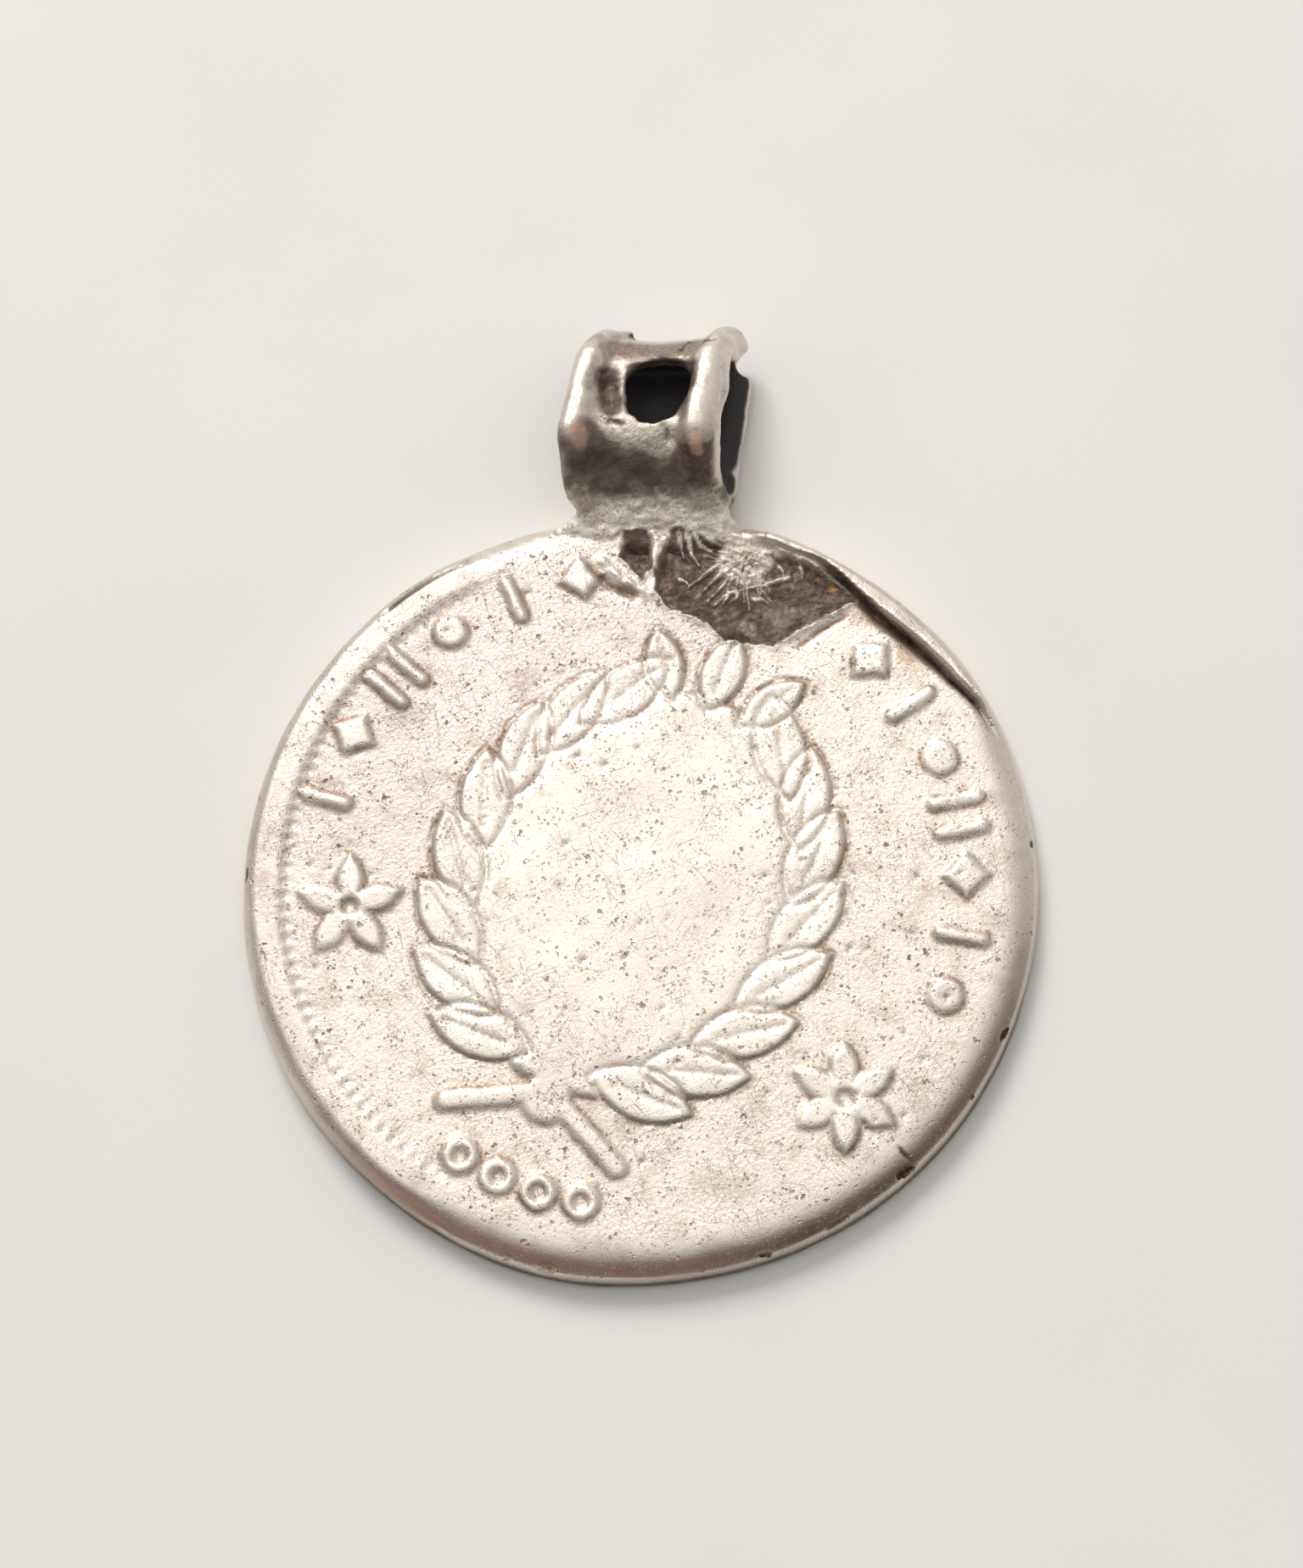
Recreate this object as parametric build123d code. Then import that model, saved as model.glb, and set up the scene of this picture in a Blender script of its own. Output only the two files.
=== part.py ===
from build123d import *
import os
from math import cos, radians, sin

os.makedirs("parts", exist_ok=True)

# A worn silver coin with a strap bail soldered to its edge, lying on its back face.
# The origin is the centre of the back face, +Z leaves the struck face, +Y runs to the bail
# and +X runs along the bail's opening. Every size is in millimetres and every angle in degrees.

# Coin blank
coin_radius = 13.5
field_z = 1.45
wall_top_z = 1.05
back_bevel = 0.18
shoulder_inner_radius = 11.9
shoulder_mid_radius = 12.95
shoulder_mid_z = 1.38

# Raised parts of the rim: start angle, sweep, inner radius, outer radius and top height
rim_sectors = [
    {"start": 27.0, "sweep": 44.0, "inner": 12.7, "outer": 13.15, "top": 1.72},
    {"start": 122.0, "sweep": 112.0, "inner": 12.0, "outer": 13.05, "top": 1.56},
]
rim_slope = 0.12

# Nicks knocked into the edge: angle round the coin, radius of the bite and how far it reaches in
edge_nicks = [
    {"angle": -22.0, "bite": 0.30, "reach": 0.12},
    {"angle": -47.5, "bite": 0.45, "reach": 0.16},
    {"angle": -71.0, "bite": 0.28, "reach": 0.12},
    {"angle": -104.0, "bite": 0.40, "reach": 0.12},
    {"angle": 186.0, "bite": 0.35, "reach": 0.08},
]

# Struck relief, worn almost flat
relief_height = 0.16
relief_root = 0.25
design_turn = -22.0

cartouche_half_width = 5.9
cartouche_half_height = 7.3
cartouche_drop = 0.4
wreath_leaves = 8
wreath_first = -62.0
wreath_last = 60.0
wreath_leaf_length = 3.8
wreath_leaf_width = 1.8
wreath_leaf_lean = 62.0
wreath_leaf_seat = 0.45

# Leaves over and under the cartouche, in the design's own frame: place, direction, length and width
crest_leaves = [
    {"x": -1.2, "y": 6.3, "turn": 124.0, "length": 2.8, "width": 1.4},
    {"x": 0.0, "y": 6.4, "turn": 90.0, "length": 3.0, "width": 1.6},
    {"x": 1.2, "y": 6.3, "turn": 56.0, "length": 2.8, "width": 1.4},
]
knot_bars = [
    {"x": -1.7, "y": -8.7, "turn": 206.0, "length": 3.8, "width": 0.7},
    {"x": 1.7, "y": -8.7, "turn": -26.0, "length": 3.8, "width": 0.7},
]
knot_radius = 0.85
knot_y = -8.1

# Ring of small ornaments round the field: a motif every few degrees, except where the solder lies
ring_radius = 11.1
ring_arcs = [
    {"first": 100.0, "last": 164.0, "count": 6},
    {"first": 44.0, "last": -22.0, "count": 7},
]
lozenge_side = 1.15
pellet_radius = 0.6
bar_length = 1.9
bar_width = 0.48
bar_pair_offset = 0.53

# Two larger flowers and a row of four annulets near the foot
flowers = [
    {"x": -9.75, "y": -0.8, "petals": 5, "reach": 1.85},
    {"x": 6.9, "y": -7.6, "petals": 6, "reach": 1.85},
]
flower_petal_width = 0.95
flower_eye_outer = 0.67
flower_eye_inner = 0.25
annulet_angles = [-122.0, -114.5, -107.0, -99.5]
annulet_outer = 0.62
annulet_inner = 0.24

# Pocket that the solder left in the face, and the small one beside it
pocket_floor_z = 1.02
pocket_outline = [
    (1.2, 12.75), (0.75, 11.5), (0.6, 10.6), (0.95, 9.9), (2.4, 9.2), (3.1, 8.5), (4.7, 8.35),
    (6.0, 9.15), (7.65, 9.95), (7.3, 10.35), (6.3, 11.1), (4.7, 11.95), (2.8, 12.5),
]
small_pocket_floor_z = 1.12
small_pocket_outline = [(-0.5, 12.6), (0.4, 12.75), (0.5, 11.3), (0.15, 10.85), (-0.55, 11.7)]
# Thin crevice under the lip
crevice_depth = 0.35
crevice = {"start": 30.0, "sweep": 24.0, "inner": 12.35, "outer": 12.7}

# Strap bail: two ridges with a thin sunken web between them. The loop's centre line in its side view,
# as corners with their bend radii
ridge_radius = 0.62
web_thickness = 0.5
loop_corners = [
    {"y": 13.75, "z": 0.72, "bend": 0.6},
    {"y": 14.0, "z": 2.2, "bend": 1.0},
    {"y": 15.45, "z": 3.55, "bend": 1.1},
    {"y": 18.5, "z": 3.0, "bend": 1.6},
    {"y": 19.6, "z": 1.75, "bend": 0.8},
    {"y": 18.9, "z": 0.66, "bend": 0.55},
]
left_ridge_x = -1.95
right_ridge_x = 2.25
# The strap was bent askew: its back lies further along +X than its knee, and its top a little too
knee_y = 15.6
knee_z = 3.4
skew_by_z = -0.27
skew_by_y = 0.14
hole_outline = [
    (-0.25, 17.8), (0.97, 18.15), (1.79, 17.85), (1.75, 16.9), (1.3, 16.0), (0.65, 15.62), (0.1, 15.6),
    (-0.35, 15.95), (-0.43, 16.6),
]
hole_low_z = 2.0

# Neck of solder between the bail and the coin
neck_left = -1.95
neck_right = 3.1
neck_left_flare = 1.0
neck_right_flare = 0.5
neck_waist_y = 13.55
neck_seat_y = 12.9
neck_root_y = 12.2
neck_top_y = 14.7
neck_low_z = 0.12
neck_high_z = 1.5
slope_inset = 0.4
solder_slope = [(12.3, 1.3), (12.75, 1.62), (13.5, 1.95), (14.2, 2.6), (14.6, 1.2)]

# Height that every cut clears
cut_top_z = 6.0


def polar(radius, angle):
    """A point of the coin's plane from its distance and angle."""
    return radius * cos(radians(angle)), radius * sin(radians(angle))


def ring_section(inner, outer, low, high, slope):
    """Section of a low ring whose sides lean in by slope, standing in the XZ plane."""
    corners = [(inner, low), (outer, low), (outer - slope, high), (inner + slope, high)]
    return make_face(Plane.XZ * Polyline(*corners, close=True))


def coin_blank():
    """The disc: flat back, straight edge wall, worn shoulder and flat field."""
    outline = Polyline((0, field_z), (0, 0), (coin_radius - back_bevel, 0), (coin_radius, back_bevel),
                       (coin_radius, wall_top_z))
    shoulder = ThreePointArc((coin_radius, wall_top_z), (shoulder_mid_radius, shoulder_mid_z),
                             (shoulder_inner_radius, field_z))
    top = Line((shoulder_inner_radius, field_z), (0, field_z))
    blank = revolve(make_face(Plane.XZ * Curve([outline, shoulder, top])), Axis.Z)
    for sector in rim_sectors:
        section = ring_section(sector["inner"], sector["outer"], wall_top_z, sector["top"], rim_slope)
        rim = revolve(section, Axis.Z, sector["sweep"])
        blank += Rot(0, 0, sector["start"]) * rim
    for nick in edge_nicks:
        x, y = polar(coin_radius + nick["bite"] - nick["reach"], nick["angle"])
        blank -= Pos(x, y, 0) * Cylinder(nick["bite"], 2 * cut_top_z)
    return blank


def leaf(length, width):
    """A pointed leaf that starts at the origin and runs along +X."""
    upper = ThreePointArc((0, 0), (length / 2, width / 2), (length, 0))
    lower = ThreePointArc((length, 0), (length / 2, -width / 2), (0, 0))
    return make_face(Curve([upper, lower]))


def placed(face, x, y, turn):
    """A flat face turned about the origin and moved to its place."""
    return Pos(x, y) * Rot(0, 0, turn) * face


def wreath_side(side):
    """Leaves along one side of the cartouche: side is 1 for the right and -1 for the left."""
    leaves = Sketch()
    step = (wreath_last - wreath_first) / (wreath_leaves - 1)
    for index in range(wreath_leaves):
        angle = radians(wreath_first + step * index)
        x = cartouche_half_width * cos(angle)
        y = cartouche_half_height * sin(angle) - cartouche_drop
        turn = wreath_first + step * index + wreath_leaf_lean
        inward = wreath_leaf_seat * wreath_leaf_length
        x -= inward * cos(radians(turn))
        y -= inward * sin(radians(turn))
        if side < 0:
            x = -x
            turn = 180.0 - turn
        leaves += placed(leaf(wreath_leaf_length, wreath_leaf_width), x, y, turn)
    return leaves


def cartouche():
    """The worn shield with its wreath, crest and knot, as one flat sketch."""
    design = Pos(0, -cartouche_drop) * Ellipse(cartouche_half_width, cartouche_half_height)
    design += wreath_side(1)
    design += wreath_side(-1)
    for row in crest_leaves:
        design += placed(leaf(row["length"], row["width"]), row["x"], row["y"], row["turn"])
    for row in knot_bars:
        design += placed(SlotOverall(row["length"], row["width"]), row["x"], row["y"], row["turn"])
    design += Pos(0, knot_y) * Circle(knot_radius)
    return Rot(0, 0, design_turn) * design


def motif(index):
    """One of four small ornaments, in turn: lozenge, bar, pellet and pair of bars."""
    bar = SlotOverall(bar_length, bar_width)
    pair = Pos(0, bar_pair_offset) * bar + Pos(0, -bar_pair_offset) * bar
    lozenge = Rot(0, 0, 45) * Rectangle(lozenge_side, lozenge_side)
    kinds = [lozenge, bar, Circle(pellet_radius), pair]
    return kinds[index % len(kinds)]


def blossom(petals, reach):
    """A flower of pointed petals round a raised eye that is cut open."""
    face = Circle(flower_eye_outer)
    for index in range(petals):
        face += Rot(0, 0, 90 + 360 / petals * index) * leaf(reach, flower_petal_width)
    return face - Circle(flower_eye_inner)


def ring_ornaments():
    """Everything raised round the cartouche: the ring of motifs, the annulets and the flowers."""
    ring = Sketch()
    for arc in ring_arcs:
        step = (arc["last"] - arc["first"]) / (arc["count"] - 1)
        for index in range(arc["count"]):
            angle = arc["first"] + step * index
            x, y = polar(ring_radius, angle)
            ring += placed(motif(index), x, y, angle)
    for angle in annulet_angles:
        x, y = polar(ring_radius, angle)
        ring += Pos(x, y) * (Circle(annulet_outer) - Circle(annulet_inner))
    for flower in flowers:
        ring += Pos(flower["x"], flower["y"]) * blossom(flower["petals"], flower["reach"])
    return ring


def prism(outline, low_z, high_z):
    """A straight-sided block over a closed outline."""
    return Pos(0, 0, low_z) * extrude(make_face(Polyline(*outline, close=True)), high_z - low_z)


def struck_coin():
    """The coin with its relief, and with the pockets and the crevice cut into its face."""
    coin = coin_blank()
    sketch = cartouche() + ring_ornaments()
    coin += Pos(0, 0, field_z - relief_root) * extrude(sketch, relief_root + relief_height)
    coin -= prism(pocket_outline, pocket_floor_z, cut_top_z)
    coin -= prism(small_pocket_outline, small_pocket_floor_z, cut_top_z)
    section = ring_section(crevice["inner"], crevice["outer"], field_z - crevice_depth, cut_top_z, 0)
    coin -= Rot(0, 0, crevice["start"]) * revolve(section, Axis.Z, crevice["sweep"])
    return coin


def skewed(x, y, z):
    """A point of the strap from its place across the strap at the knee."""
    return x + skew_by_z * (z - knee_z) + skew_by_y * (y - knee_y), y, z


def ridge(x):
    """One rounded edge of the strap: a round bar bent along the loop."""
    corners = [skewed(x, row["y"], row["z"]) for row in loop_corners]
    path = FilletPolyline(*corners, radius=[row["bend"] for row in loop_corners], close=True)
    section = Plane(origin=path @ 0, z_dir=path % 0) * Circle(ridge_radius)
    return sweep(section, path)


def web():
    """The thin wall between the ridges, cut off along both ridges' skewed planes."""
    corners = [(row["y"], row["z"]) for row in loop_corners]
    loop = Wire(FilletPolyline(*corners, radius=[row["bend"] for row in loop_corners], close=True).edges())
    outer = make_face(offset(loop, web_thickness / 2))
    inner = make_face(offset(loop, -web_thickness / 2))
    ring = Plane.YZ * (outer - inner)
    reach = right_ridge_x - left_ridge_x
    wall = Pos(left_ridge_x - reach, 0, 0) * extrude(ring, reach * 3)
    for x, keep in ((left_ridge_x, Keep.TOP), (right_ridge_x, Keep.BOTTOM)):
        side = Plane(origin=skewed(x, knee_y, knee_z), z_dir=(1, -skew_by_y, -skew_by_z))
        wall = split(wall, bisect_by=side, keep=keep)
    return wall - prism(hole_outline, hole_low_z, cut_top_z)


def neck():
    """Solder that runs from the coin's edge up into the strap."""
    left_seat = (neck_left - neck_left_flare, neck_seat_y)
    right_seat = (neck_right + neck_right_flare, neck_seat_y)
    left_waist = (neck_left, neck_waist_y)
    right_waist = (neck_right, neck_waist_y)
    left_fillet = TangentArc(left_waist, left_seat, tangent=(0, -1))
    right_fillet = TangentArc(right_waist, right_seat, tangent=(0, -1))
    top = Polyline(left_waist, (neck_left, neck_top_y), (neck_right, neck_top_y), right_waist)
    foot = Polyline(right_seat, (neck_right, neck_root_y), (neck_left, neck_root_y), left_seat)
    block = extrude(make_face(Curve([left_fillet, top, right_fillet, foot])), neck_high_z - neck_low_z)
    slope_width = neck_right - neck_left - 2 * slope_inset
    slope = extrude(Plane.YZ * make_face(Polyline(*solder_slope, close=True)), slope_width)
    return Pos(0, 0, neck_low_z) * block + Pos(neck_left + slope_inset, 0, 0) * slope


bail = web() + ridge(left_ridge_x) + ridge(right_ridge_x)
coin_pendant = struck_coin() + neck() + bail
export_step(coin_pendant, "parts/coin_pendant.step")
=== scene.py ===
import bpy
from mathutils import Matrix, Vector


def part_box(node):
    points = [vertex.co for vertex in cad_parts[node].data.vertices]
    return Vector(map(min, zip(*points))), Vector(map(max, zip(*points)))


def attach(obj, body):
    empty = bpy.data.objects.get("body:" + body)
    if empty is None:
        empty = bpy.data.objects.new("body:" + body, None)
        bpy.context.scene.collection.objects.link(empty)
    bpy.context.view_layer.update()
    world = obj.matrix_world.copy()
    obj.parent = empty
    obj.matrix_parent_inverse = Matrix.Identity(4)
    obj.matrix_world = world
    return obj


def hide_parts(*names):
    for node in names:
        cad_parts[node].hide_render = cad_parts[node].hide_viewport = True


bl_info = {
    "name": "Worn coin pendant",
    "version": (1, 0, 0),
    "blender": (4, 5, 0),
    "location": "View3D > Sidebar > Pendant",
    "description": "Builds a worn silver coin with a soldered strap bail, lying on a pale surface",
    "category": "Add Mesh",
}

from math import atan2, cos, hypot, pi, radians, sin, tan

import bmesh
import bpy
import numpy as np
from bpy.props import FloatProperty, FloatVectorProperty, IntProperty, PointerProperty
from mathutils import Matrix, Vector, noise

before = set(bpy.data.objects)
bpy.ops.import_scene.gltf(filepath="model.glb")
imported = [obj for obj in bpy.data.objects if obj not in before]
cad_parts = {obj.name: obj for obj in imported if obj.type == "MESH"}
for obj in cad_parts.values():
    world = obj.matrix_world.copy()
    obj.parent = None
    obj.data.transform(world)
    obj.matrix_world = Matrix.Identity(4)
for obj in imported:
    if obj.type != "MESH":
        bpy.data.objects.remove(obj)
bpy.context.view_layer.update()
NODE = "coin_pendant"
NODE_LOW, NODE_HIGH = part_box(NODE)

# Meshes are shaped in millimetres, with the coin's back face at height 0, and scaled to metres at the end
MM = 0.001


def table(columns, *rows):
    """Rows of a table as dictionaries, by the names of its columns."""
    return [dict(zip(columns.split(), row)) for row in rows]


# Raised ornament on the coin, in the design's own frame, which is turned round the coin's centre
DESIGN_TURN = -22.0
CARTOUCHE = {"half_width": 5.9, "half_height": 7.3, "drop": 0.4}
WREATH = {"leaves": 8, "first": -62.0, "last": 60.0, "length": 3.8, "width": 1.8, "lean": 62.0, "seat": 0.45}
CREST_LEAVES = table(
    "x y turn length width",
    (-1.2, 6.3, 124.0, 2.8, 1.4), (0.0, 6.4, 90.0, 3.0, 1.6), (1.2, 6.3, 56.0, 2.8, 1.4),
)
KNOT_BARS = table(
    "x y turn length width",
    (-1.7, -8.7, 206.0, 3.8, 0.7), (1.7, -8.7, -26.0, 3.8, 0.7),
)
KNOT = {"y": -8.1, "radius": 0.85}

# Ring of small ornaments in the coin's own frame, two flowers and four annulets
RING_RADIUS = 11.1
RING_ARCS = table(
    "first last count",
    (100.0, 164.0, 6), (44.0, -22.0, 7),
)
LOZENGE_SIDE = 1.15
PELLET_RADIUS = 0.6
BAR = {"length": 1.9, "width": 0.48, "offset": 0.53}
FLOWERS = table(
    "x y petals reach",
    (-9.75, -0.8, 5, 1.85), (6.9, -7.6, 6, 1.85),
)
FLOWER = {"petal_width": 0.95, "eye_outer": 0.67, "eye_inner": 0.25}
ANNULETS = {"angles": [-122.0, -114.5, -107.0, -99.5], "outer": 0.62, "inner": 0.24}

# Solder pocket in the face and the small one beside it, and the height of their floors
POCKET_FLOOR = 1.06
POCKET = [
    (1.2, 12.75), (0.75, 11.5), (0.6, 10.6), (0.95, 9.9), (2.4, 9.2), (3.1, 8.5), (4.7, 8.35),
    (6.0, 9.15), (7.65, 9.95), (7.3, 10.35), (6.3, 11.1), (4.7, 11.95), (2.8, 12.6),
]
SMALL_POCKET = [(-0.5, 12.6), (0.4, 12.75), (0.5, 11.3), (0.15, 10.85), (-0.55, 11.7)]

# Crystals of solder that stand on the pocket's floor, as short bent strokes: start, bend, end and height
CRYSTALS = table(
    "start bend end high",
    ((1.72, 12.5), (1.88, 11.8), (2.15, 11.4), 0.16),
    ((1.45, 12.46), (1.50, 12.1), (1.60, 11.7), 0.12),
    ((1.96, 12.58), (2.16, 12.11), (2.62, 11.86), 0.16),
    ((2.24, 12.53), (2.63, 12.19), (3.10, 12.06), 0.12),
    ((2.80, 11.42), (2.35, 11.10), (1.76, 10.61), 0.15),
    ((3.00, 11.20), (2.62, 10.85), (2.23, 10.43), 0.13),
    ((3.30, 11.10), (2.90, 10.60), (2.39, 10.09), 0.11),
    ((5.22, 10.91), (4.36, 10.64), (3.41, 10.45), 0.17),
    ((3.41, 10.45), (3.00, 10.28), (2.62, 9.92), 0.15),
    ((4.20, 11.23), (4.30, 10.80), (4.27, 10.31), 0.14),
    ((3.57, 11.16), (3.62, 10.90), (3.57, 10.57), 0.13),
    ((4.91, 11.30), (5.04, 11.15), (5.07, 10.96), 0.10),
    ((5.62, 11.28), (5.72, 11.08), (5.66, 10.86), 0.10),
    ((1.44, 10.91), (1.66, 10.86), (1.76, 10.69), 0.13),
    ((4.04, 10.14), (4.30, 10.12), (4.51, 9.97), 0.15),
    ((3.17, 10.41), (3.10, 10.20), (2.94, 10.0), 0.12),
    ((3.49, 10.41), (3.42, 10.20), (3.25, 10.08), 0.12),
)
CRYSTAL_HALF_WIDTH = 0.075
# Finer needles that fan out from the heap: how many, the angles and radii between which they lie, and height
NEEDLES = {
    "count": 26, "first": 150.0, "last": 345.0, "inner": 0.50, "outer": 1.75, "high": 0.11,
    "half_width": 0.05,
}
# Solder that ran from the neck along the top of the pocket, up to the lip
POOL = {"start": (1.9, 12.85), "bend": (3.4, 12.38), "end": (4.9, 11.90), "reach": 0.36, "high": 0.22}
GRIT_HEAP = {"x": 3.75, "y": 11.62, "radius": 1.35, "high": 0.20}
RUST_SPOTS = table(
    "x y radius",
    (6.25, 10.98, 0.32), (6.75, 10.55, 0.28),
)

# Torn bands beside the pocket: raised strips and the grooves next to them
TORN_BANDS = table(
    "start bend end half_width high",
    ((-1.45, 11.75), (-0.55, 10.85), (0.79, 10.11), 0.17, 0.10),
    ((0.47, 12.9), (0.70, 12.1), (0.52, 11.0), 0.11, 0.12),
    ((5.10, 8.45), (6.05, 9.05), (7.55, 9.85), 0.15, 0.06),
    ((-1.78, 11.50), (-0.95, 10.60), (0.09, 10.18), 0.13, -0.16),
    ((5.45, 8.15), (6.30, 8.80), (7.30, 9.40), 0.08, -0.08),
)

# The coin isn't quite round: how far its outline stands out at an angle, over a spread of degrees
OUTLINE_BULGES = table(
    "angle spread out",
    (32.0, 13.0, 0.12), (108.0, 13.0, -0.10), (218.0, 22.0, -0.07), (256.0, 14.0, 0.12),
    (312.0, 24.0, 0.06),
)
# Nicks in the edge: angle, radius, half length round the edge, half width, depth and slant
EDGE_NICKS = table(
    "angle radius half_length half_width deep slant",
    (-23.5, 13.36, 0.26, 0.09, 0.28, 0.15), (-34.0, 13.40, 0.14, 0.05, 0.16, 0.0),
    (-48.2, 13.33, 0.40, 0.12, 0.32, 0.12), (-47.0, 12.98, 0.09, 0.32, 0.07, 0.0),
    (-60.5, 13.38, 0.50, 0.05, 0.16, -0.03), (-71.5, 13.40, 0.26, 0.07, 0.22, 0.1),
    (-103.0, 13.37, 0.40, 0.08, 0.22, -0.08), (-108.5, 13.40, 0.16, 0.06, 0.16, 0.1),
    (5.0, 13.38, 0.18, 0.05, 0.12, 0.0), (178.0, 13.32, 0.26, 0.07, 0.10, 0.0),
)
# Edge: the face falls away over the shoulder to a burr, and the wall turns down and under from there
EDGE = {
    "burr_radius": 13.38, "burr_height": 0.03, "shoulder_start": 12.38, "shoulder_drop": 0.50, "foot": 0.60,
}
# Angles between which the edge is turned away from the light, and how soft the ends are
SHADED_SIDE = (-138.0, -12.0, 16.0)
WALL_ROWS = table(
    "inset height",
    (-0.03, 0.48), (-0.06, 0.36), (-0.07, 0.24), (-0.05, 0.14), (0.01, 0.065), (0.11, 0.018), (0.27, 0.0),
    (2.0, 0.012), (5.0, 0.0),
)
# Inner line of the upper right lip, as radius by angle, and the lip's and the gap's sizes
LIP_LINE = {
    "angle": [22.0, 28.0, 33.0, 41.0, 48.0, 53.0, 58.0, 61.0, 65.0, 69.5, 76.0],
    "radius": [13.15, 13.08, 12.85, 12.70, 12.60, 12.72, 12.93, 13.00, 12.90, 12.95, 13.0],
}
LIP = {
    "top": 1.74, "width": 0.34, "gap_depth": 0.50, "gap_width": 0.38, "gap_angle": 44.0, "gap_spread": 14.0,
}
# Dark line along the edge at the upper left: a shallow cut whose dark colour is painted shade
LEFT_GAP = {"first": 117.0, "last": 132.0, "soft": 2.0, "radius": 13.10, "half_width": 0.06, "deep": 0.18}
# Low rim at the left with a row of short beads inside it
LEFT_RIM = {"inner": 12.0, "outer": 12.95, "height": 0.12, "beads": 150.0, "bead_height": 0.035}

# Strap bail, in its side view: corners of its centre line with their bend radii
LOOP_CORNERS = table(
    "y z bend",
    (13.75, 0.72, 0.6), (14.0, 2.2, 1.0), (15.45, 3.55, 1.1), (18.5, 3.0, 1.6), (19.6, 1.75, 0.8),
    (18.9, 0.66, 0.55),
)
KNEE = {"y": 15.6, "z": 3.4}
SKEW = {"by_z": -0.27, "by_y": 0.14}
RIDGE_X = {"left": -1.95, "right": 2.25}
RIDGE_RADIUS = 0.62
WEB_HALF = 0.25
HOLE = [
    (-0.25, 17.8), (0.97, 18.15), (1.79, 17.85), (1.75, 16.9), (1.3, 16.0), (0.65, 15.62), (0.1, 15.6),
    (-0.35, 15.95), (-0.43, 16.6),
]
# The hole is cut with a leaning block: its foot's height, its own height and its lean for each millimetre
HOLE_CUT = {"low": 2.15, "high": 3.0, "lean_x": 0.117, "lean_y": 0.10}
# Neck of solder: its middle along X, and its sections from inside the coin up into the strap
NECK_MIDDLE = 0.4
NECK = table(
    "y left right low high",
    (11.9, -3.2, 3.6, 0.35, 1.20), (12.5, -3.3, 3.7, 0.20, 1.50), (12.9, -2.9, 3.5, 0.14, 1.66),
    (13.3, -2.15, 3.2, 0.12, 1.86), (13.7, -1.95, 3.1, 0.12, 2.15), (14.2, -1.95, 3.05, 0.12, 2.6),
    (14.7, -1.8, 2.9, 0.3, 2.9),
)
# Places where the strap was knocked or folded: centre, reach, and which way the metal went
STRAP_DENTS = table(
    "at reach push",
    ((-0.90, 17.2, 3.4), 0.45, (0.0, 0.0, -0.22)),
    ((-0.85, 16.5, 3.6), 0.35, (0.05, 0.0, -0.16)),
    ((0.9, 19.3, 2.4), 0.80, (0.0, -0.16, 0.0)),
    ((3.7, 19.1, 2.4), 0.50, (-0.14, 0.0, 0.0)),
    ((2.95, 17.0, 3.2), 0.75, (0.16, 0.0, 0.0)),
    ((2.75, 15.4, 3.2), 0.75, (0.14, 0.0, 0.0)),
    ((1.35, 15.2, 3.6), 0.30, (0.0, 0.0, -0.14)),
    ((0.4, 14.6, 3.0), 0.90, (0.0, 0.06, -0.08)),
    ((-2.3, 15.3, 3.7), 0.45, (-0.08, -0.05, 0.05)),
    ((3.45, 15.0, 0.9), 0.22, (-0.16, 0.0, -0.05)),
)
STRAP_CRACKS = table(
    "start end half_width deep",
    ((-1.20, 16.00, 3.75), (-0.85, 15.74, 3.70), 0.06, 0.16),
    ((-0.85, 15.74, 3.70), (-0.40, 15.78, 3.70), 0.06, 0.14),
    ((-0.62, 19.60, 2.45), (0.05, 19.62, 2.15), 0.09, 0.26),
    ((1.60, 18.70, 3.05), (1.85, 19.20, 2.50), 0.05, 0.10),
    ((2.42, 18.96, 3.15), (2.70, 19.0, 3.28), 0.08, 0.12),
    ((1.18, 15.50, 3.60), (1.16, 14.95, 3.50), 0.07, 0.08),
    ((3.05, 18.60, 3.40), (2.85, 15.2, 3.72), 0.06, 0.05),
)
# Bite out of the strap's right side behind the front ridge: where it stands, its radius and its height
STRAP_BITE = {"x": 3.86, "y": 19.05, "radius": 0.43, "low": -0.5, "high": 1.95}
# Metal that curls over beside the cracks: ends and radius
STRAP_CURLS = table(
    "start end radius",
    ((-1.05, 19.45, 2.70), (-0.22, 19.66, 2.20), 0.19),
    ((2.85, 19.25, 2.95), (3.15, 19.05, 2.45), 0.17),
)
# Metal folded into the loop's right end at its top, which closes the opening there
STRAP_FOLD = {"start": (3.28, 19.05, 2.65), "end": (3.40, 18.86, 2.12), "radius": 0.33}
# Rough facet beside the hole, and the solder that ran up under it
FACET = {"start": (-0.95, 17.4, 3.4), "end": (-0.85, 16.5, 3.6), "reach": 0.36}
UNDER_HOLE = {"start": (-0.4, 15.35, 3.5), "end": (1.1, 15.0, 3.4)}
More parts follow.
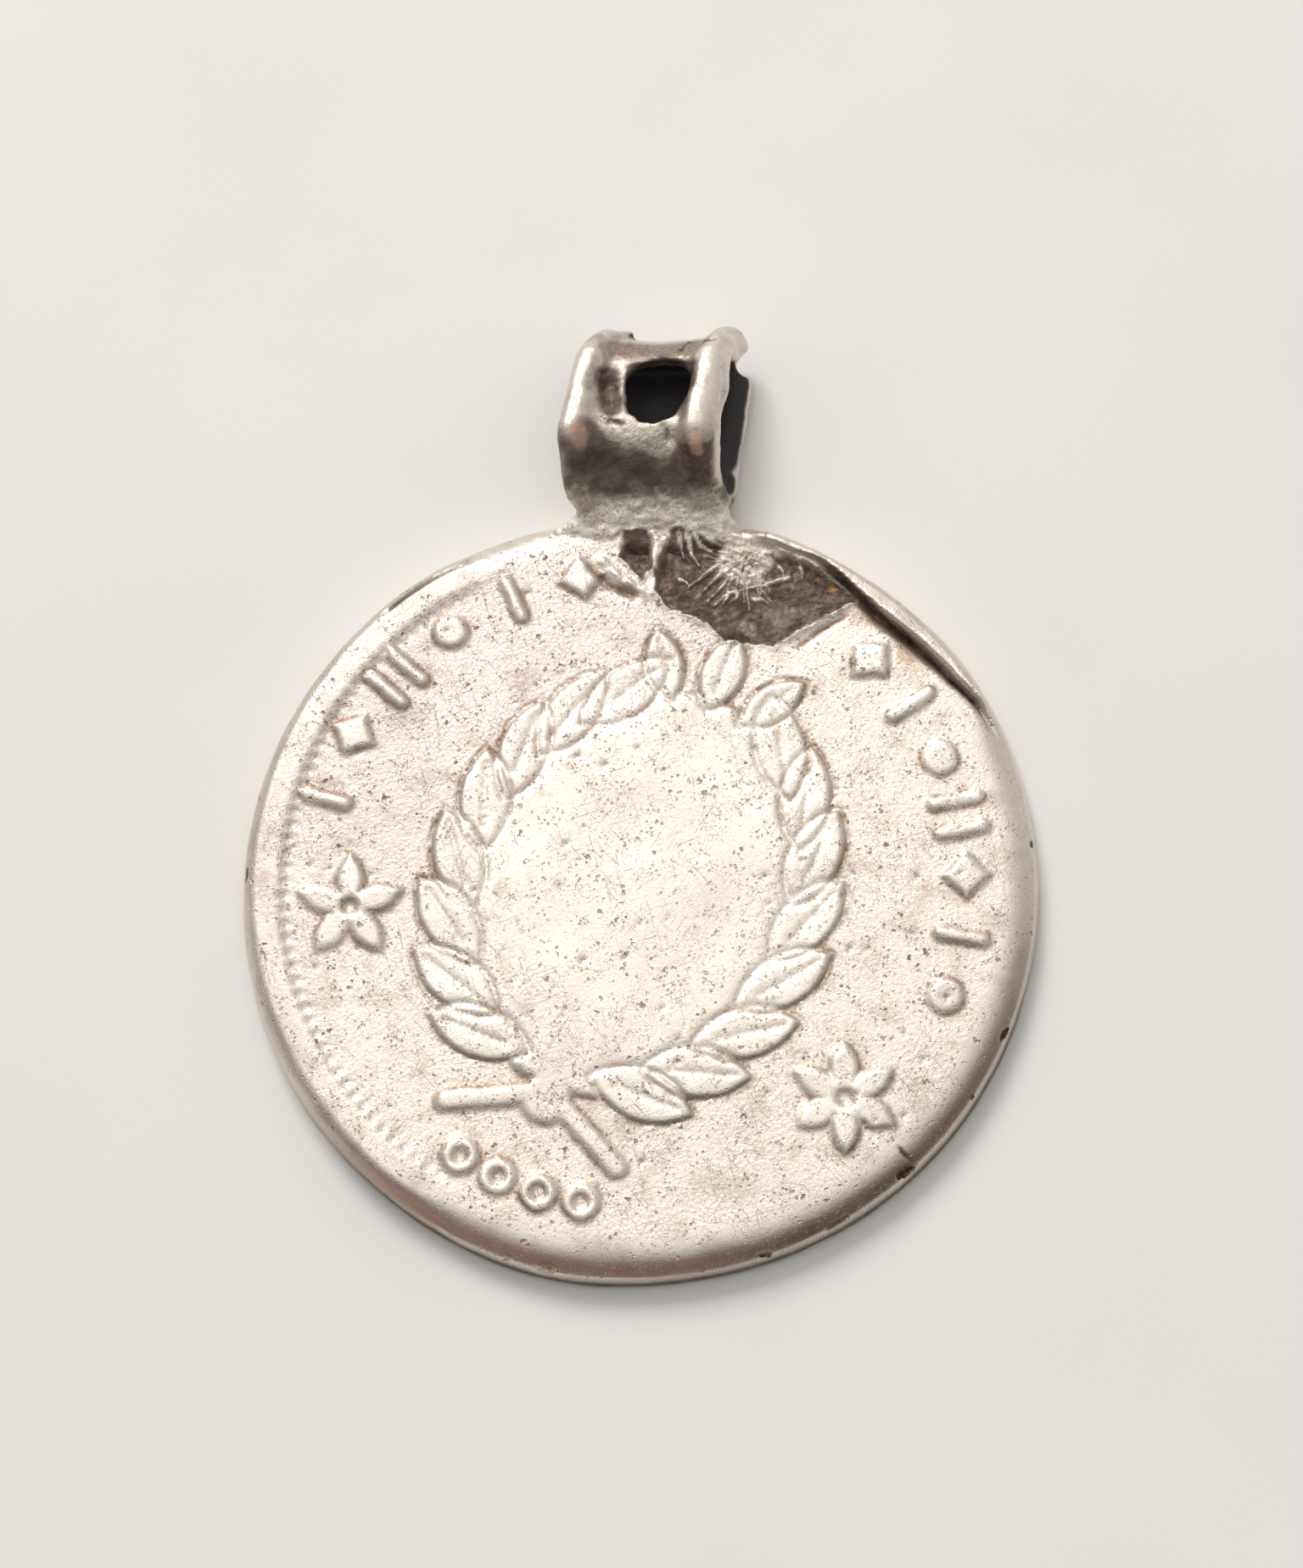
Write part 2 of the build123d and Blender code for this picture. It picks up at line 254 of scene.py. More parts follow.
# Stains on the strap: mask, the stroke that they lie along, reach, and how strong they are. Not all are
# stains: the reddish rows on the ridges below the knee are painted reflection, several dull rows are painted
# shade that dims the reflection on ridge tops and flanks, and the scale rows below the knee also paint the
# dark reflection there.
STRAP_STAINS_AND_PAINTED_LIGHT = table(
    "mask start end reach strong",
    ("scale", (-0.93, 17.60, 3.4), (-0.76, 16.4, 3.6), 0.52, 1.0),
    ("scale", (-1.20, 16.0, 3.75), (-0.40, 15.76, 3.7), 0.09, 0.9),
    ("dull", (-0.5, 18.7, 3.0), (2.0, 18.9, 2.9), 0.75, 1.0),
    ("dull", (-1.3, 19.2, 2.9), (-1.6, 17.2, 3.8), 0.35, 0.60),
    ("dull", (1.88, 18.3, 3.25), (1.82, 15.9, 3.7), 0.34, 1.0),
    ("dull", (-0.6, 15.5, 3.5), (1.6, 15.3, 3.5), 0.60, 0.30),
    ("dull", (-1.0, 18.7, 3.2), (-0.7, 17.8, 3.3), 0.40, 0.8),
    ("dull", (-2.5, 18.6, 2.8), (-2.6, 15.6, 3.4), 0.55, 0.7),
    ("dull", (2.9, 18.3, 3.2), (2.75, 15.6, 3.6), 0.20, 0.35),
    ("scale", (1.60, 18.70, 3.05), (1.85, 19.20, 2.5), 0.07, 1.0),
    ("scale", (2.42, 18.96, 3.15), (2.70, 19.0, 3.28), 0.11, 0.9),
    ("scale", (-0.62, 19.60, 2.45), (0.05, 19.62, 2.15), 0.12, 1.0),
    ("scale", (1.18, 15.50, 3.60), (1.16, 14.95, 3.5), 0.12, 0.7),
    ("scale", (-1.55, 15.25, 3.8), (-1.2, 14.4, 3.3), 0.75, 0.9),
    ("scale", (1.9, 14.7, 3.4), (2.2, 14.0, 2.9), 0.60, 0.95),
    ("scale", (-0.6, 14.4, 2.9), (1.4, 14.1, 2.8), 0.50, 0.85),
    ("bright", (-0.2, 15.5, 3.5), (0.9, 15.1, 3.4), 0.55, 0.92),
    ("bright", (2.45, 15.9, 3.9), (2.5, 15.2, 3.8), 0.30, 0.6),
    ("bright", (2.95, 15.5, 3.5), (2.9, 14.0, 2.4), 0.38, 0.95),
    ("heat", (-1.88, 15.45, 3.95), (-1.84, 15.05, 3.8), 0.30, 0.8),
    ("heat", (2.18, 15.05, 3.85), (2.18, 14.7, 3.7), 0.26, 1.0),
)


def millimetres(length):
    """A length property, in metres, as millimetres."""
    return length / MM


def smooth(low, high, value):
    """0 below low, 1 above high and an even S between them; low may be the larger."""
    share = np.clip((value - low) / (high - low), 0.0, 1.0)
    return share * share * (3.0 - 2.0 * share)


def window(angle, first, last, soft):
    """1 between two angles round the coin and 0 outside them, with soft ends."""
    turned = (angle - first + 90.0) % 360.0 - 90.0
    return smooth(-soft, soft, turned) * (1.0 - smooth(last - first - soft, last - first + soft, turned))


def hump(distance, width):
    """1 at no distance, falling off as a bell to about a third at one width."""
    return np.exp(-((distance / width) ** 2))


def polar(x, y):
    """Radius and angle in degrees of places on the coin."""
    return np.hypot(x, y), np.degrees(np.arctan2(y, x))


def apart(angle, middle):
    """Degrees from one angle to another, the short way round."""
    return (angle - middle + 180.0) % 360.0 - 180.0


def grain(x, y, z, size, octaves=2):
    """Smooth noise of about -1 to 1 whose features are size millimetres wide."""
    points = np.stack(np.broadcast_arrays(x, y, z), axis=-1) / size
    return np.array([noise.fractal(point, 1.0, 2.0, octaves) for point in points.tolist()])


# Distances to flat shapes, below zero inside them


def turned(x, y, centre_x, centre_y, turn):
    """Coordinates in the frame of a shape that was placed and turned."""
    c, s = cos(radians(turn)), sin(radians(turn))
    u, v = x - centre_x, y - centre_y
    return c * u + s * v, c * v - s * u


def disc(x, y, radius):
    return np.hypot(x, y) - radius


def bar(x, y, length, width):
    """A bar with round ends, centred, along x."""
    half = (length - width) / 2
    return np.hypot(x - np.clip(x, -half, half), y) - width / 2


def leaf(x, y, length, width):
    """A pointed leaf from the origin along +x: the overlap of two discs."""
    radius = (length * length + width * width) / (4 * width)
    drop = radius - width / 2
    return np.maximum(np.hypot(x - length / 2, y - drop), np.hypot(x - length / 2, y + drop)) - radius


def ellipse(x, y, half_width, half_height):
    near = np.hypot(x / half_width, y / half_height)
    slope = np.hypot(x / half_width**2, y / half_height**2)
    return near * (near - 1.0) / np.maximum(slope, 1e-6)


def straight(x, y, start, end):
    """Distance to a straight stroke, and how far along it the nearest point lies, from 0 to 1."""
    (ax, ay), (bx, by) = start, end
    share = np.clip(((x - ax) * (bx - ax) + (y - ay) * (by - ay)) / ((bx - ax) ** 2 + (by - ay) ** 2), 0, 1)
    return np.hypot(x - ax - share * (bx - ax), y - ay - share * (by - ay)), share


def polygon(x, y, corners):
    """Distance to a closed outline of straight sides."""
    nearest = np.full_like(x, 1e9)
    inside = np.zeros(x.shape, bool)
    for (ax, ay), (bx, by) in zip(corners, corners[1:] + corners[:1]):
        distance, _ = straight(x, y, (ax, ay), (bx, by))
        nearest = np.minimum(nearest, distance)
        crosses = (ay > y) != (by > y)
        inside ^= crosses & (x < (bx - ax) * (y - ay) / (by - ay if by != ay else 1e-9) + ax)
    return np.where(inside, -nearest, nearest)


def stroke(x, y, row):
    """Distance to a bent stroke, and how far along it the nearest point lies, from 0 to 1."""
    nearest = np.full_like(x, 1e9)
    along = np.zeros_like(x)
    for first, here, there in ((0.0, row["start"], row["bend"]), (0.5, row["bend"], row["end"])):
        distance, share = straight(x, y, here, there)
        along = np.where(distance < nearest, first + share / 2, along)
        nearest = np.minimum(nearest, distance)
    return nearest, along


# The struck design


def wreath_leaves():
    """Place, direction, length and width of every leaf of the wreath and the crest, in the design's frame."""
    rows = []
    step = (WREATH["last"] - WREATH["first"]) / (WREATH["leaves"] - 1)
    for side in (1, -1):
        for index in range(WREATH["leaves"]):
            angle = WREATH["first"] + step * index
            turn = angle + WREATH["lean"]
            inward = WREATH["seat"] * WREATH["length"]
            x = CARTOUCHE["half_width"] * cos(radians(angle)) - inward * cos(radians(turn))
            y = CARTOUCHE["half_height"] * sin(radians(angle)) - CARTOUCHE["drop"]
            y -= inward * sin(radians(turn))
            rows.append({
                "x": side * x, "y": y, "turn": turn if side > 0 else 180.0 - turn,
                "length": WREATH["length"], "width": WREATH["width"],
            })
    return rows + CREST_LEAVES


def ring_places():
    """Kind, place and direction of each small ornament round the field."""
    rows = []
    for arc in RING_ARCS:
        step = (arc["last"] - arc["first"]) / (arc["count"] - 1)
        for index in range(arc["count"]):
            angle = arc["first"] + step * index
            x, y = RING_RADIUS * cos(radians(angle)), RING_RADIUS * sin(radians(angle))
            rows.append({"kind": index % 4, "x": x, "y": y, "turn": angle})
    return rows


def motif(kind, u, v):
    """Distance to a lozenge, a bar, a pellet or a pair of bars."""
    if kind == 0:
        return (np.abs(u) + np.abs(v)) / 2**0.5 - LOZENGE_SIDE / 2
    if kind == 1:
        return bar(u, v, BAR["length"], BAR["width"])
    if kind == 2:
        return disc(u, v, PELLET_RADIUS)
    return bar(u, np.abs(v) - BAR["offset"], BAR["length"], BAR["width"])


def design(x, y):
    """Distances to the cartouche's bare middle, to everything raised, and to the leaves' outlines."""
    u, v = turned(x, y, 0, 0, DESIGN_TURN)
    core = ellipse(u, v + CARTOUCHE["drop"], CARTOUCHE["half_width"], CARTOUCHE["half_height"])
    raised = core.copy()
    veins = np.full_like(x, 1e9)
    for row in wreath_leaves():
        a, b = turned(u, v, row["x"], row["y"], row["turn"])
        distance = leaf(a, b, row["length"], row["width"])
        raised = np.minimum(raised, distance)
        rib = np.maximum(np.abs(b), np.abs(a - row["length"] * 0.55) - row["length"] * 0.3)
        veins = np.minimum(veins, np.minimum(np.abs(distance), rib + 0.03))
    for row in KNOT_BARS:
        a, b = turned(u, v, row["x"], row["y"], row["turn"])
        raised = np.minimum(raised, bar(a, b, row["length"], row["width"]))
    raised = np.minimum(raised, disc(u, v - KNOT["y"], KNOT["radius"]))
    for row in ring_places():
        a, b = turned(x, y, row["x"], row["y"], row["turn"])
        raised = np.minimum(raised, motif(row["kind"], a, b))
    for angle in ANNULETS["angles"]:
        a = x - RING_RADIUS * cos(radians(angle))
        b = y - RING_RADIUS * sin(radians(angle))
        ring = np.maximum(disc(a, b, ANNULETS["outer"]), -disc(a, b, ANNULETS["inner"]))
        raised = np.minimum(raised, ring)
    for row in FLOWERS:
        a, b = x - row["x"], y - row["y"]
        flower = disc(a, b, FLOWER["eye_outer"])
        for index in range(row["petals"]):
            c, d = turned(a, b, 0, 0, 90 + 360 / row["petals"] * index)
            flower = np.minimum(flower, leaf(c, d, row["reach"], FLOWER["petal_width"]))
        raised = np.minimum(raised, np.maximum(flower, -disc(a, b, FLOWER["eye_inner"])))
    return core, raised, veins


def pocket_distance(x, y):
    """Distance to the nearer of the two pockets."""
    return np.minimum(polygon(x, y, POCKET), polygon(x, y, SMALL_POCKET))


def seeded_pits(count, reach):
    """Places, radii and depths of the larger pits in the face."""
    dice = np.random.default_rng(5)
    rows = []
    while len(rows) < count:
        x, y = dice.uniform(-reach, reach, 2)
        if hypot(x, y) < reach and y < 0.1 * x * x + 9.0:
            radius = dice.uniform(0.05, 0.13)
            rows.append({"x": x, "y": y, "radius": radius, "deep": radius * dice.uniform(0.4, 0.7)})
    return rows


def seeded_needles():
    """Short bent strokes that fan out from the heap of solder."""
    dice = np.random.default_rng(11)
    rows = []
    for index in range(NEEDLES["count"]):
        spread = (index + dice.uniform(-0.3, 0.3)) / (NEEDLES["count"] - 1)
        turn = radians(NEEDLES["first"] + (NEEDLES["last"] - NEEDLES["first"]) * spread)
        inner = NEEDLES["inner"] * dice.uniform(0.7, 1.6)
        outer = inner + (NEEDLES["outer"] - NEEDLES["inner"]) * dice.uniform(0.25, 0.9)
        places = []
        for reach, bent in ((inner, 0.0), ((inner + outer) / 2, dice.uniform(-0.10, 0.10)), (outer, 0.0)):
            way = turn + bent
            places.append((GRIT_HEAP["x"] + reach * cos(way), GRIT_HEAP["y"] + reach * sin(way)))
        high = NEEDLES["high"] * dice.uniform(0.6, 1.1)
        rows.append({"start": places[0], "bend": places[1], "end": places[2], "high": high})
    return rows


PITS = seeded_pits(count=64, reach=12.2)
NEEDLE_ROWS = seeded_needles()


def rim_windows(angle):
    """How much of the low left rim and of the thin lip there is at an angle."""
    lip = smooth(19.0, 32.0, angle) * smooth(74.0, 69.0, angle)
    return window(angle, 118.0, 236.0, 9.0), lip


def lip_radius(angle):
    """Radius of the lip's inner line at an angle."""
    return np.interp(angle, LIP_LINE["angle"], LIP_LINE["radius"])


def left_gap(radius, angle):
    """How much of the thin line at the upper left of the edge there is at a place."""
    across = hump(radius - LEFT_GAP["radius"], LEFT_GAP["half_width"])
    return window(angle, LEFT_GAP["first"], LEFT_GAP["last"], LEFT_GAP["soft"]) * across


def edge_grain(angle, reach, level, size):
    """Noise that runs round the edge of the coin and meets itself."""
    turn = np.radians(angle)
    return grain(reach * np.cos(turn), reach * np.sin(turn), level, size, 2)


def burr_radius(angle):
    """Radius of the burr between shoulder and wall, which wanders a little."""
    return EDGE["burr_radius"] + 0.03 * edge_grain(angle, 9, 0.0, 1.6)


def nick_distance(radius, angle, row):
    """How far a place of the edge lies from a nick's middle: 1 on its side."""
    along = radians(1.0) * apart(angle, row["angle"]) * row["radius"]
    ragged = 0.35 * grain(along, radius, row["angle"], 0.13, 2)
    off = radius - row["radius"] - row["slant"] * along
    return np.hypot(along / row["half_length"], off / row["half_width"]) + ragged


def target_length(x, y):
    """How long a face edge may be at a place of the coin's face: short beside anything that is shaped."""
    radius, angle = polar(x, y)
    core, raised, veins = design(x, y)
    rim, lip = rim_windows(angle)
    length = np.full_like(x, 0.42)
    length = np.minimum(length, 0.07 + 0.30 * np.abs(raised + 0.03))
    length = np.where(core > -1.6, np.minimum(length, 0.085 + 0.5 * veins), length)
    length = np.minimum(length, np.maximum(0.047, 0.047 + 0.3 * pocket_distance(x, y)))
    for row in TORN_BANDS:
        distance, _ = stroke(x, y, row)
        length = np.minimum(length, 0.07 + 0.35 * distance)
    for row in PITS:
        length = np.minimum(length, 0.055 + 0.6 * np.hypot(x - row["x"], y - row["y"]))
    for row in EDGE_NICKS:
        reach = row["radius"] * radians(1.0) * np.abs(apart(angle, row["angle"]))
        off = np.maximum(np.abs(radius - row["radius"]) - 0.2, 0)
        off = np.hypot(np.maximum(reach - row["half_length"], 0), off)
        length = np.minimum(length, 0.05 + 0.4 * off)
    for where, longest in (
        (radius > 11.6, 0.21), (radius > 12.9, 0.15), (radius > 13.28, 0.085),
        ((rim > 0.02) & (radius > 11.6), 0.14),
        (lip > 0.02, 0.055 + 0.3 * np.abs(radius - lip_radius(angle))),
    ):
        length = np.where(where, np.minimum(length, longest), length)
    neck = np.hypot(np.maximum(np.abs(x - NECK_MIDDLE) - 3.2, 0), np.maximum(11.9 - y, 0))
    return np.minimum(length, 0.13 + 0.3 * neck)


def blank_height(x, y, coin):
    """The coin's face without its design: field, worn shoulder, burr, slanting wall, left rim and lip."""
    radius, angle = polar(x, y)
    turn = np.radians(angle)
    field, full = millimetres(coin.field_height), millimetres(coin.radius)
    rim, lip = rim_windows(angle)
    burr = burr_radius(angle)
    start = EDGE["shoulder_start"] + 0.75 * rim + 0.5 * lip
    drop = EDGE["shoulder_drop"] * (1.0 - 0.45 * rim - 0.3 * lip)
    share = np.clip((radius - start) / (burr - start), 0, 1)
    height = field - drop * share**2.3
    uneven = 0.7 + 0.6 * edge_grain(angle, 11, 5.0, 0.9)
    height += EDGE["burr_height"] * uneven * (1 - lip) * hump(radius - burr - 0.02, 0.045)
    past = np.clip((radius - burr) / (full - burr), 0, 1)
    height -= (field - drop - EDGE["foot"]) * (0.25 * past + 0.75 * (1.0 - np.sqrt(1.0 - past**2)))

    inner, outer = LEFT_RIM["inner"], LEFT_RIM["outer"]
    step = LEFT_RIM["height"] * smooth(inner - 0.10, inner + 0.35, radius)
    step *= smooth(outer + 0.35, outer, radius)
    beads = LEFT_RIM["bead_height"] * np.sin(turn * LEFT_RIM["beads"]) * hump(radius - inner, 0.16)
    height += rim * step
    height += rim * beads

    line = lip_radius(angle) + 0.02 * edge_grain(angle, 11, 2.0, 0.8)
    side = line + np.maximum(LIP["width"], full - 0.12 - line)
    crest = smooth(line - 0.05, line + 0.10, radius) * smooth(side + 0.10, side - 0.22, radius)
    height += lip * (LIP["top"] - 0.25 * np.maximum(radius - line, 0) - height) * crest
    wide = hump(angle - LIP["gap_angle"], LIP["gap_spread"])
    gap = smooth(line - 0.16 - LIP["gap_width"] * wide, line - 0.12, radius)
    gap *= smooth(line + 0.03, line - 0.09, radius)
    height -= LIP["gap_depth"] * wide**0.5 * window(angle, 26.0, 60.0, 3.0) * gap
    height -= LEFT_GAP["deep"] * left_gap(radius, angle)
    for row in EDGE_NICKS:
        height -= row["deep"] * smooth(1.15, 0.55, nick_distance(radius, angle, row))
    return height


def needle_heights(x, y, rows, half_width, root, taper):
    """Height of the needles of a table, each thinner toward its end."""
    height = np.zeros_like(x)
    for row in rows:
        distance, along = stroke(x, y, row)
        height = np.maximum(height, row["high"] * hump(distance, half_width * (root - taper * along)))
    return height


def face_height(x, y, coin):
    """Height of the coin's face, in millimetres, and the masks that its finish is drawn from."""
    radius = np.hypot(x, y)
    core, raised, veins = design(x, y)
    wobble = 0.05 * grain(x, y, 3.0, 0.5, 2)
    raised = raised + wobble
    wear = np.clip(0.85 + 0.35 * grain(x, y, 7.0, 3.2, 2), 0.35, 1.0)
    relief = millimetres(coin.relief_height)
    height = blank_height(x, y, coin) + 0.018 * grain(x, y, 0.0, 2.6, 3)
    height += relief * wear * smooth(0.13, -0.19, raised)
    edge_zone = smooth(-2.1, -0.9, core) * (raised < 0.05)
    height -= 0.085 * wear * edge_zone * hump(veins, 0.09)
    ring_line = hump(core + 1.55 + 0.5 * wobble, 0.07) * smooth(0.05, 0.3, grain(x, y, 11.0, 2.2, 2))
    height -= 0.03 * ring_line
    for row in PITS:
        height -= row["deep"] * hump(np.hypot(x - row["x"], y - row["y"]), row["radius"])

    pocket = pocket_distance(x, y) + 0.09 * grain(x, y, 0.0, 0.32, 3)
    torn = hump(pocket, 0.13) * (pocket > -0.05) * smooth(13.1, 12.6, radius)
    height += 0.07 * torn * (0.7 + 0.6 * grain(x, y, 5.0, 0.4, 2))
    bands = np.zeros_like(x)
    for row in TORN_BANDS:
        distance, along = stroke(x, y, row)
        rough = 1.0 + 0.5 * grain(x, y, 2.0, 0.3, 2)
        shape = hump(distance + wobble * 0.5, row["half_width"])
        taper = smooth(0.0, 0.12, along) * smooth(1.0, 0.88, along)
        height += row["high"] * shape * taper * rough
        bands = np.where(row["high"] < 0, np.maximum(bands, shape * taper), bands)
    inside = smooth(0.06, -0.10, pocket)
    floor = POCKET_FLOOR + 0.045 * grain(x, y, 1.0, 0.8, 3) + 0.03 * grain(x, y, 9.0, 0.25, 3)
    crystals = np.maximum(
        needle_heights(x, y, CRYSTALS, CRYSTAL_HALF_WIDTH, 1.35, 0.95),
        needle_heights(x, y, NEEDLE_ROWS, NEEDLES["half_width"], 1.3, 0.7),
    )
    crystals *= 0.75 + 0.55 * grain(x, y, 6.0, 0.22, 2)
    pool_distance, _ = stroke(x, y, POOL)
    pool = smooth(1.2 * POOL["reach"], 0.5 * POOL["reach"], pool_distance + 0.12 * grain(x, y, 8.0, 0.3, 2))
    heap_distance = np.hypot(x - GRIT_HEAP["x"], y - GRIT_HEAP["y"])
    heap = GRIT_HEAP["high"] * smooth(GRIT_HEAP["radius"], 0.1, heap_distance)
    spokes = np.arctan2(y - GRIT_HEAP["y"], x - GRIT_HEAP["x"])
    rays = grain(np.cos(spokes) * 3.0, np.sin(spokes) * 3.0, heap_distance * 0.25, 0.33, 2)
    gritty = heap * np.clip(0.85 + 0.6 * grain(x, y, 4.0, 0.17, 2) + 0.55 * rays, 0.0, 1.5)
    floor = floor + np.maximum(np.maximum(crystals, gritty), POOL["high"] * pool)
    height = height * (1 - inside) + np.minimum(floor, height) * inside
    masks = {
        "raised": smooth(0.06, -0.10, raised), "raised_distance": raised, "veins": veins, "core": core,
        "pocket": inside, "crystals": crystals, "heap": gritty, "grooves": bands,
        "ring_line": ring_line, "torn": torn, "pool": pool,
    }
    return height, masks


def outline_stretch(angle):
    """How far the coin's edge stands out from its circle at an angle."""
    out = np.zeros_like(angle)
    for row in OUTLINE_BULGES:
        out += row["out"] * hump(apart(angle, row["angle"]), row["spread"])
    return out


# Mesh helpers


def coordinates(bm):
    return np.array([vert.co[:] for vert in bm.verts])


def place(bm, points):
    for vert, point in zip(bm.verts, points.tolist()):
        vert.co = point


def hexagon_disc(bm, radius, rounds):
    """An even net of triangles over a disc: a hexagon that is cut finer and pushed out to the circle."""
    bmesh.ops.create_circle(bm, cap_ends=True, cap_tris=True, segments=6, radius=radius)
    for _ in range(rounds):
        bmesh.ops.subdivide_edges(bm, edges=bm.edges[:], cuts=1, use_grid_fill=True)
    for vert in bm.verts:
        off_middle = (atan2(vert.co.y, vert.co.x) + pi / 6) % (pi / 3) - pi / 6
        vert.co *= cos(off_middle) / cos(pi / 6)


def refine(bm, rounds):
    """Cuts every edge that is longer than the face wants there, a few times over."""
    for _ in range(rounds):
        edges = bm.edges[:]
        ends = np.array([(*edge.verts[0].co, *edge.verts[1].co) for edge in edges])
        middle = (ends[:, :3] + ends[:, 3:]) / 2
        length = np.linalg.norm(ends[:, :3] - ends[:, 3:], axis=1)
        too_long = length > 1.4 * target_length(middle[:, 0], middle[:, 1])
        bmesh.ops.subdivide_edges(bm, edges=[edge for edge, cut in zip(edges, too_long) if cut], cuts=1)
        bmesh.ops.triangulate(bm, faces=[face for face in bm.faces if len(face.verts) > 3])


def melt(bm, verts, rounds):
    """Evens out some vertices, a few times over."""
    for _ in range(rounds):
        bmesh.ops.smooth_vert(bm, verts=verts, factor=0.5, use_axis_x=True, use_axis_y=True, use_axis_z=True)


def made_verts(made):
    return [item for item in made if isinstance(item, bmesh.types.BMVert)]


def made_rim(made):
    return [item for item in made if isinstance(item, bmesh.types.BMEdge) and item.is_boundary]


def open_edges(bm):
    return [edge for edge in bm.edges if edge.is_boundary]


def extrude_ring(bm, edges, radius, height):
    """Pulls a round open edge to another radius and height, and returns its new edges."""
    made = bmesh.ops.extrude_edge_only(bm, edges=edges)["geom"]
    for vert in made_verts(made):
        scale = radius / hypot(vert.co.x, vert.co.y)
        vert.co = (vert.co.x * scale, vert.co.y * scale, height)
    return made_rim(made)


def temporary(bm, name):
    """A scene object for a bmesh, which is freed."""
    bmesh.ops.recalc_face_normals(bm, faces=bm.faces[:])
    mesh = bpy.data.meshes.new(name)
    bm.to_mesh(mesh)
    bm.free()
    made = bpy.data.objects.new(name, mesh)
    bpy.context.scene.collection.objects.link(made)
    return made


def applied(thing, kind, **settings):
    """The object with one modifier applied to its mesh."""
    modifier = thing.modifiers.new(kind.lower(), kind)
    for name, value in settings.items():
        setattr(modifier, name, value)
    bpy.context.view_layer.update()
    solid = bpy.data.meshes.new_from_object(thing.evaluated_get(bpy.context.evaluated_depsgraph_get()))
    thing.modifiers.clear()
    thing.data = solid
    return thing


def discard(*things):
    for thing in things:
        bpy.data.objects.remove(thing)


# The coin


def coin_solid(coin):
    """The whole coin as one closed mesh in millimetres."""
    bm = bmesh.new()
    full = millimetres(coin.radius)
    hexagon_disc(bm, full, 5)
    refine(bm, coin.finest_rounds)
    for vert in {vert for edge in open_edges(bm) for vert in edge.verts}:
        vert.co *= full / vert.co.length
    points = coordinates(bm)
    points[:, 2], _ = face_height(points[:, 0], points[:, 1], coin)
    place(bm, points)
    edges = open_edges(bm)
    for row in WALL_ROWS:
        edges = extrude_ring(bm, edges, full - row["inset"], row["height"])
    bmesh.ops.triangle_fill(bm, edges=edges, use_beauty=True)
    bmesh.ops.recalc_face_normals(bm, faces=bm.faces[:])

    points = coordinates(bm)
    x, y, z = points.T
    radius, angle = polar(x, y)
    out = outline_stretch(angle) + 0.02 * grain(x / full * 4, y / full * 4, z, 0.35, 2)
    scale = 1.0 + smooth(8.0, full, radius) * out / np.maximum(radius, 1.0)
    points[:, 0] *= scale
    points[:, 1] *= scale
    place(bm, points)
    return temporary(bm, "coin_blank")


# The bail


def loop_points(count):
    """Even points along the strap's centre line in its side view, and the way out of the loop there."""
    corners = [np.array((row["y"], row["z"])) for row in LOOP_CORNERS]
    line = []
    for index, row in enumerate(LOOP_CORNERS):
        here = corners[index]
        back = corners[index - 1] - here
        ahead = corners[(index + 1) % len(corners)] - here
        back, ahead = back / np.linalg.norm(back), ahead / np.linalg.norm(ahead)
        half = np.arccos(np.clip(back @ ahead, -1, 1)) / 2
        centre = here + (back + ahead) / np.linalg.norm(back + ahead) * row["bend"] / sin(half)
        first = here + back * row["bend"] / tan(half) - centre
        last = here + ahead * row["bend"] / tan(half) - centre
        sweep = pi - 2 * half
        for share in np.linspace(0, 1, 9):
            line.append(centre + (first * sin((1 - share) * sweep) + last * sin(share * sweep)) / sin(sweep))
    line = np.array(line + line[:1])
    length = np.concatenate([[0], np.cumsum(np.linalg.norm(np.diff(line, axis=0), axis=1))])
    stations = np.linspace(0, length[-1], count, endpoint=False)
    points = np.stack([np.interp(stations, length, line[:, axis]) for axis in (0, 1)], axis=1)
    along = np.roll(points, -1, axis=0) - np.roll(points, 1, axis=0)
    along /= np.linalg.norm(along, axis=1)[:, None]
    out = np.stack([-along[:, 1], along[:, 0]], axis=1)
    inward = ((points - points.mean(axis=0)) * out).sum(axis=1).mean() < 0
    return points, -out if inward else out


def skew(x, y, z):
    """How far the strap is shifted along X at a height and a place, because it was bent askew."""
    return x + SKEW["by_z"] * (z - KNEE["z"]) + SKEW["by_y"] * (y - KNEE["y"])


def strap_section(share):
    """A point of the strap's cross section from its share of the way round: across, and out of the loop."""
    centre = (RIDGE_X["right"] - RIDGE_X["left"]) / 2
    half = centre + RIDGE_RADIUS
    turn = 2 * pi * share
    across = half * (1.0 if cos(turn) > 0 else -1.0) * abs(cos(turn)) ** 0.8
    past = max(abs(across) - centre, 0.0) / RIDGE_RADIUS
    round_end = max(1.0 - past * past, 0.0) ** 0.5
    swell = float(smooth(0.64 * centre, 0.93 * centre, np.float64(abs(across))))
    if sin(turn) >= 0:
        return across, (WEB_HALF + (RIDGE_RADIUS - WEB_HALF) * swell) * round_end
    return across, -(WEB_HALF + 0.12 * swell) * round_end


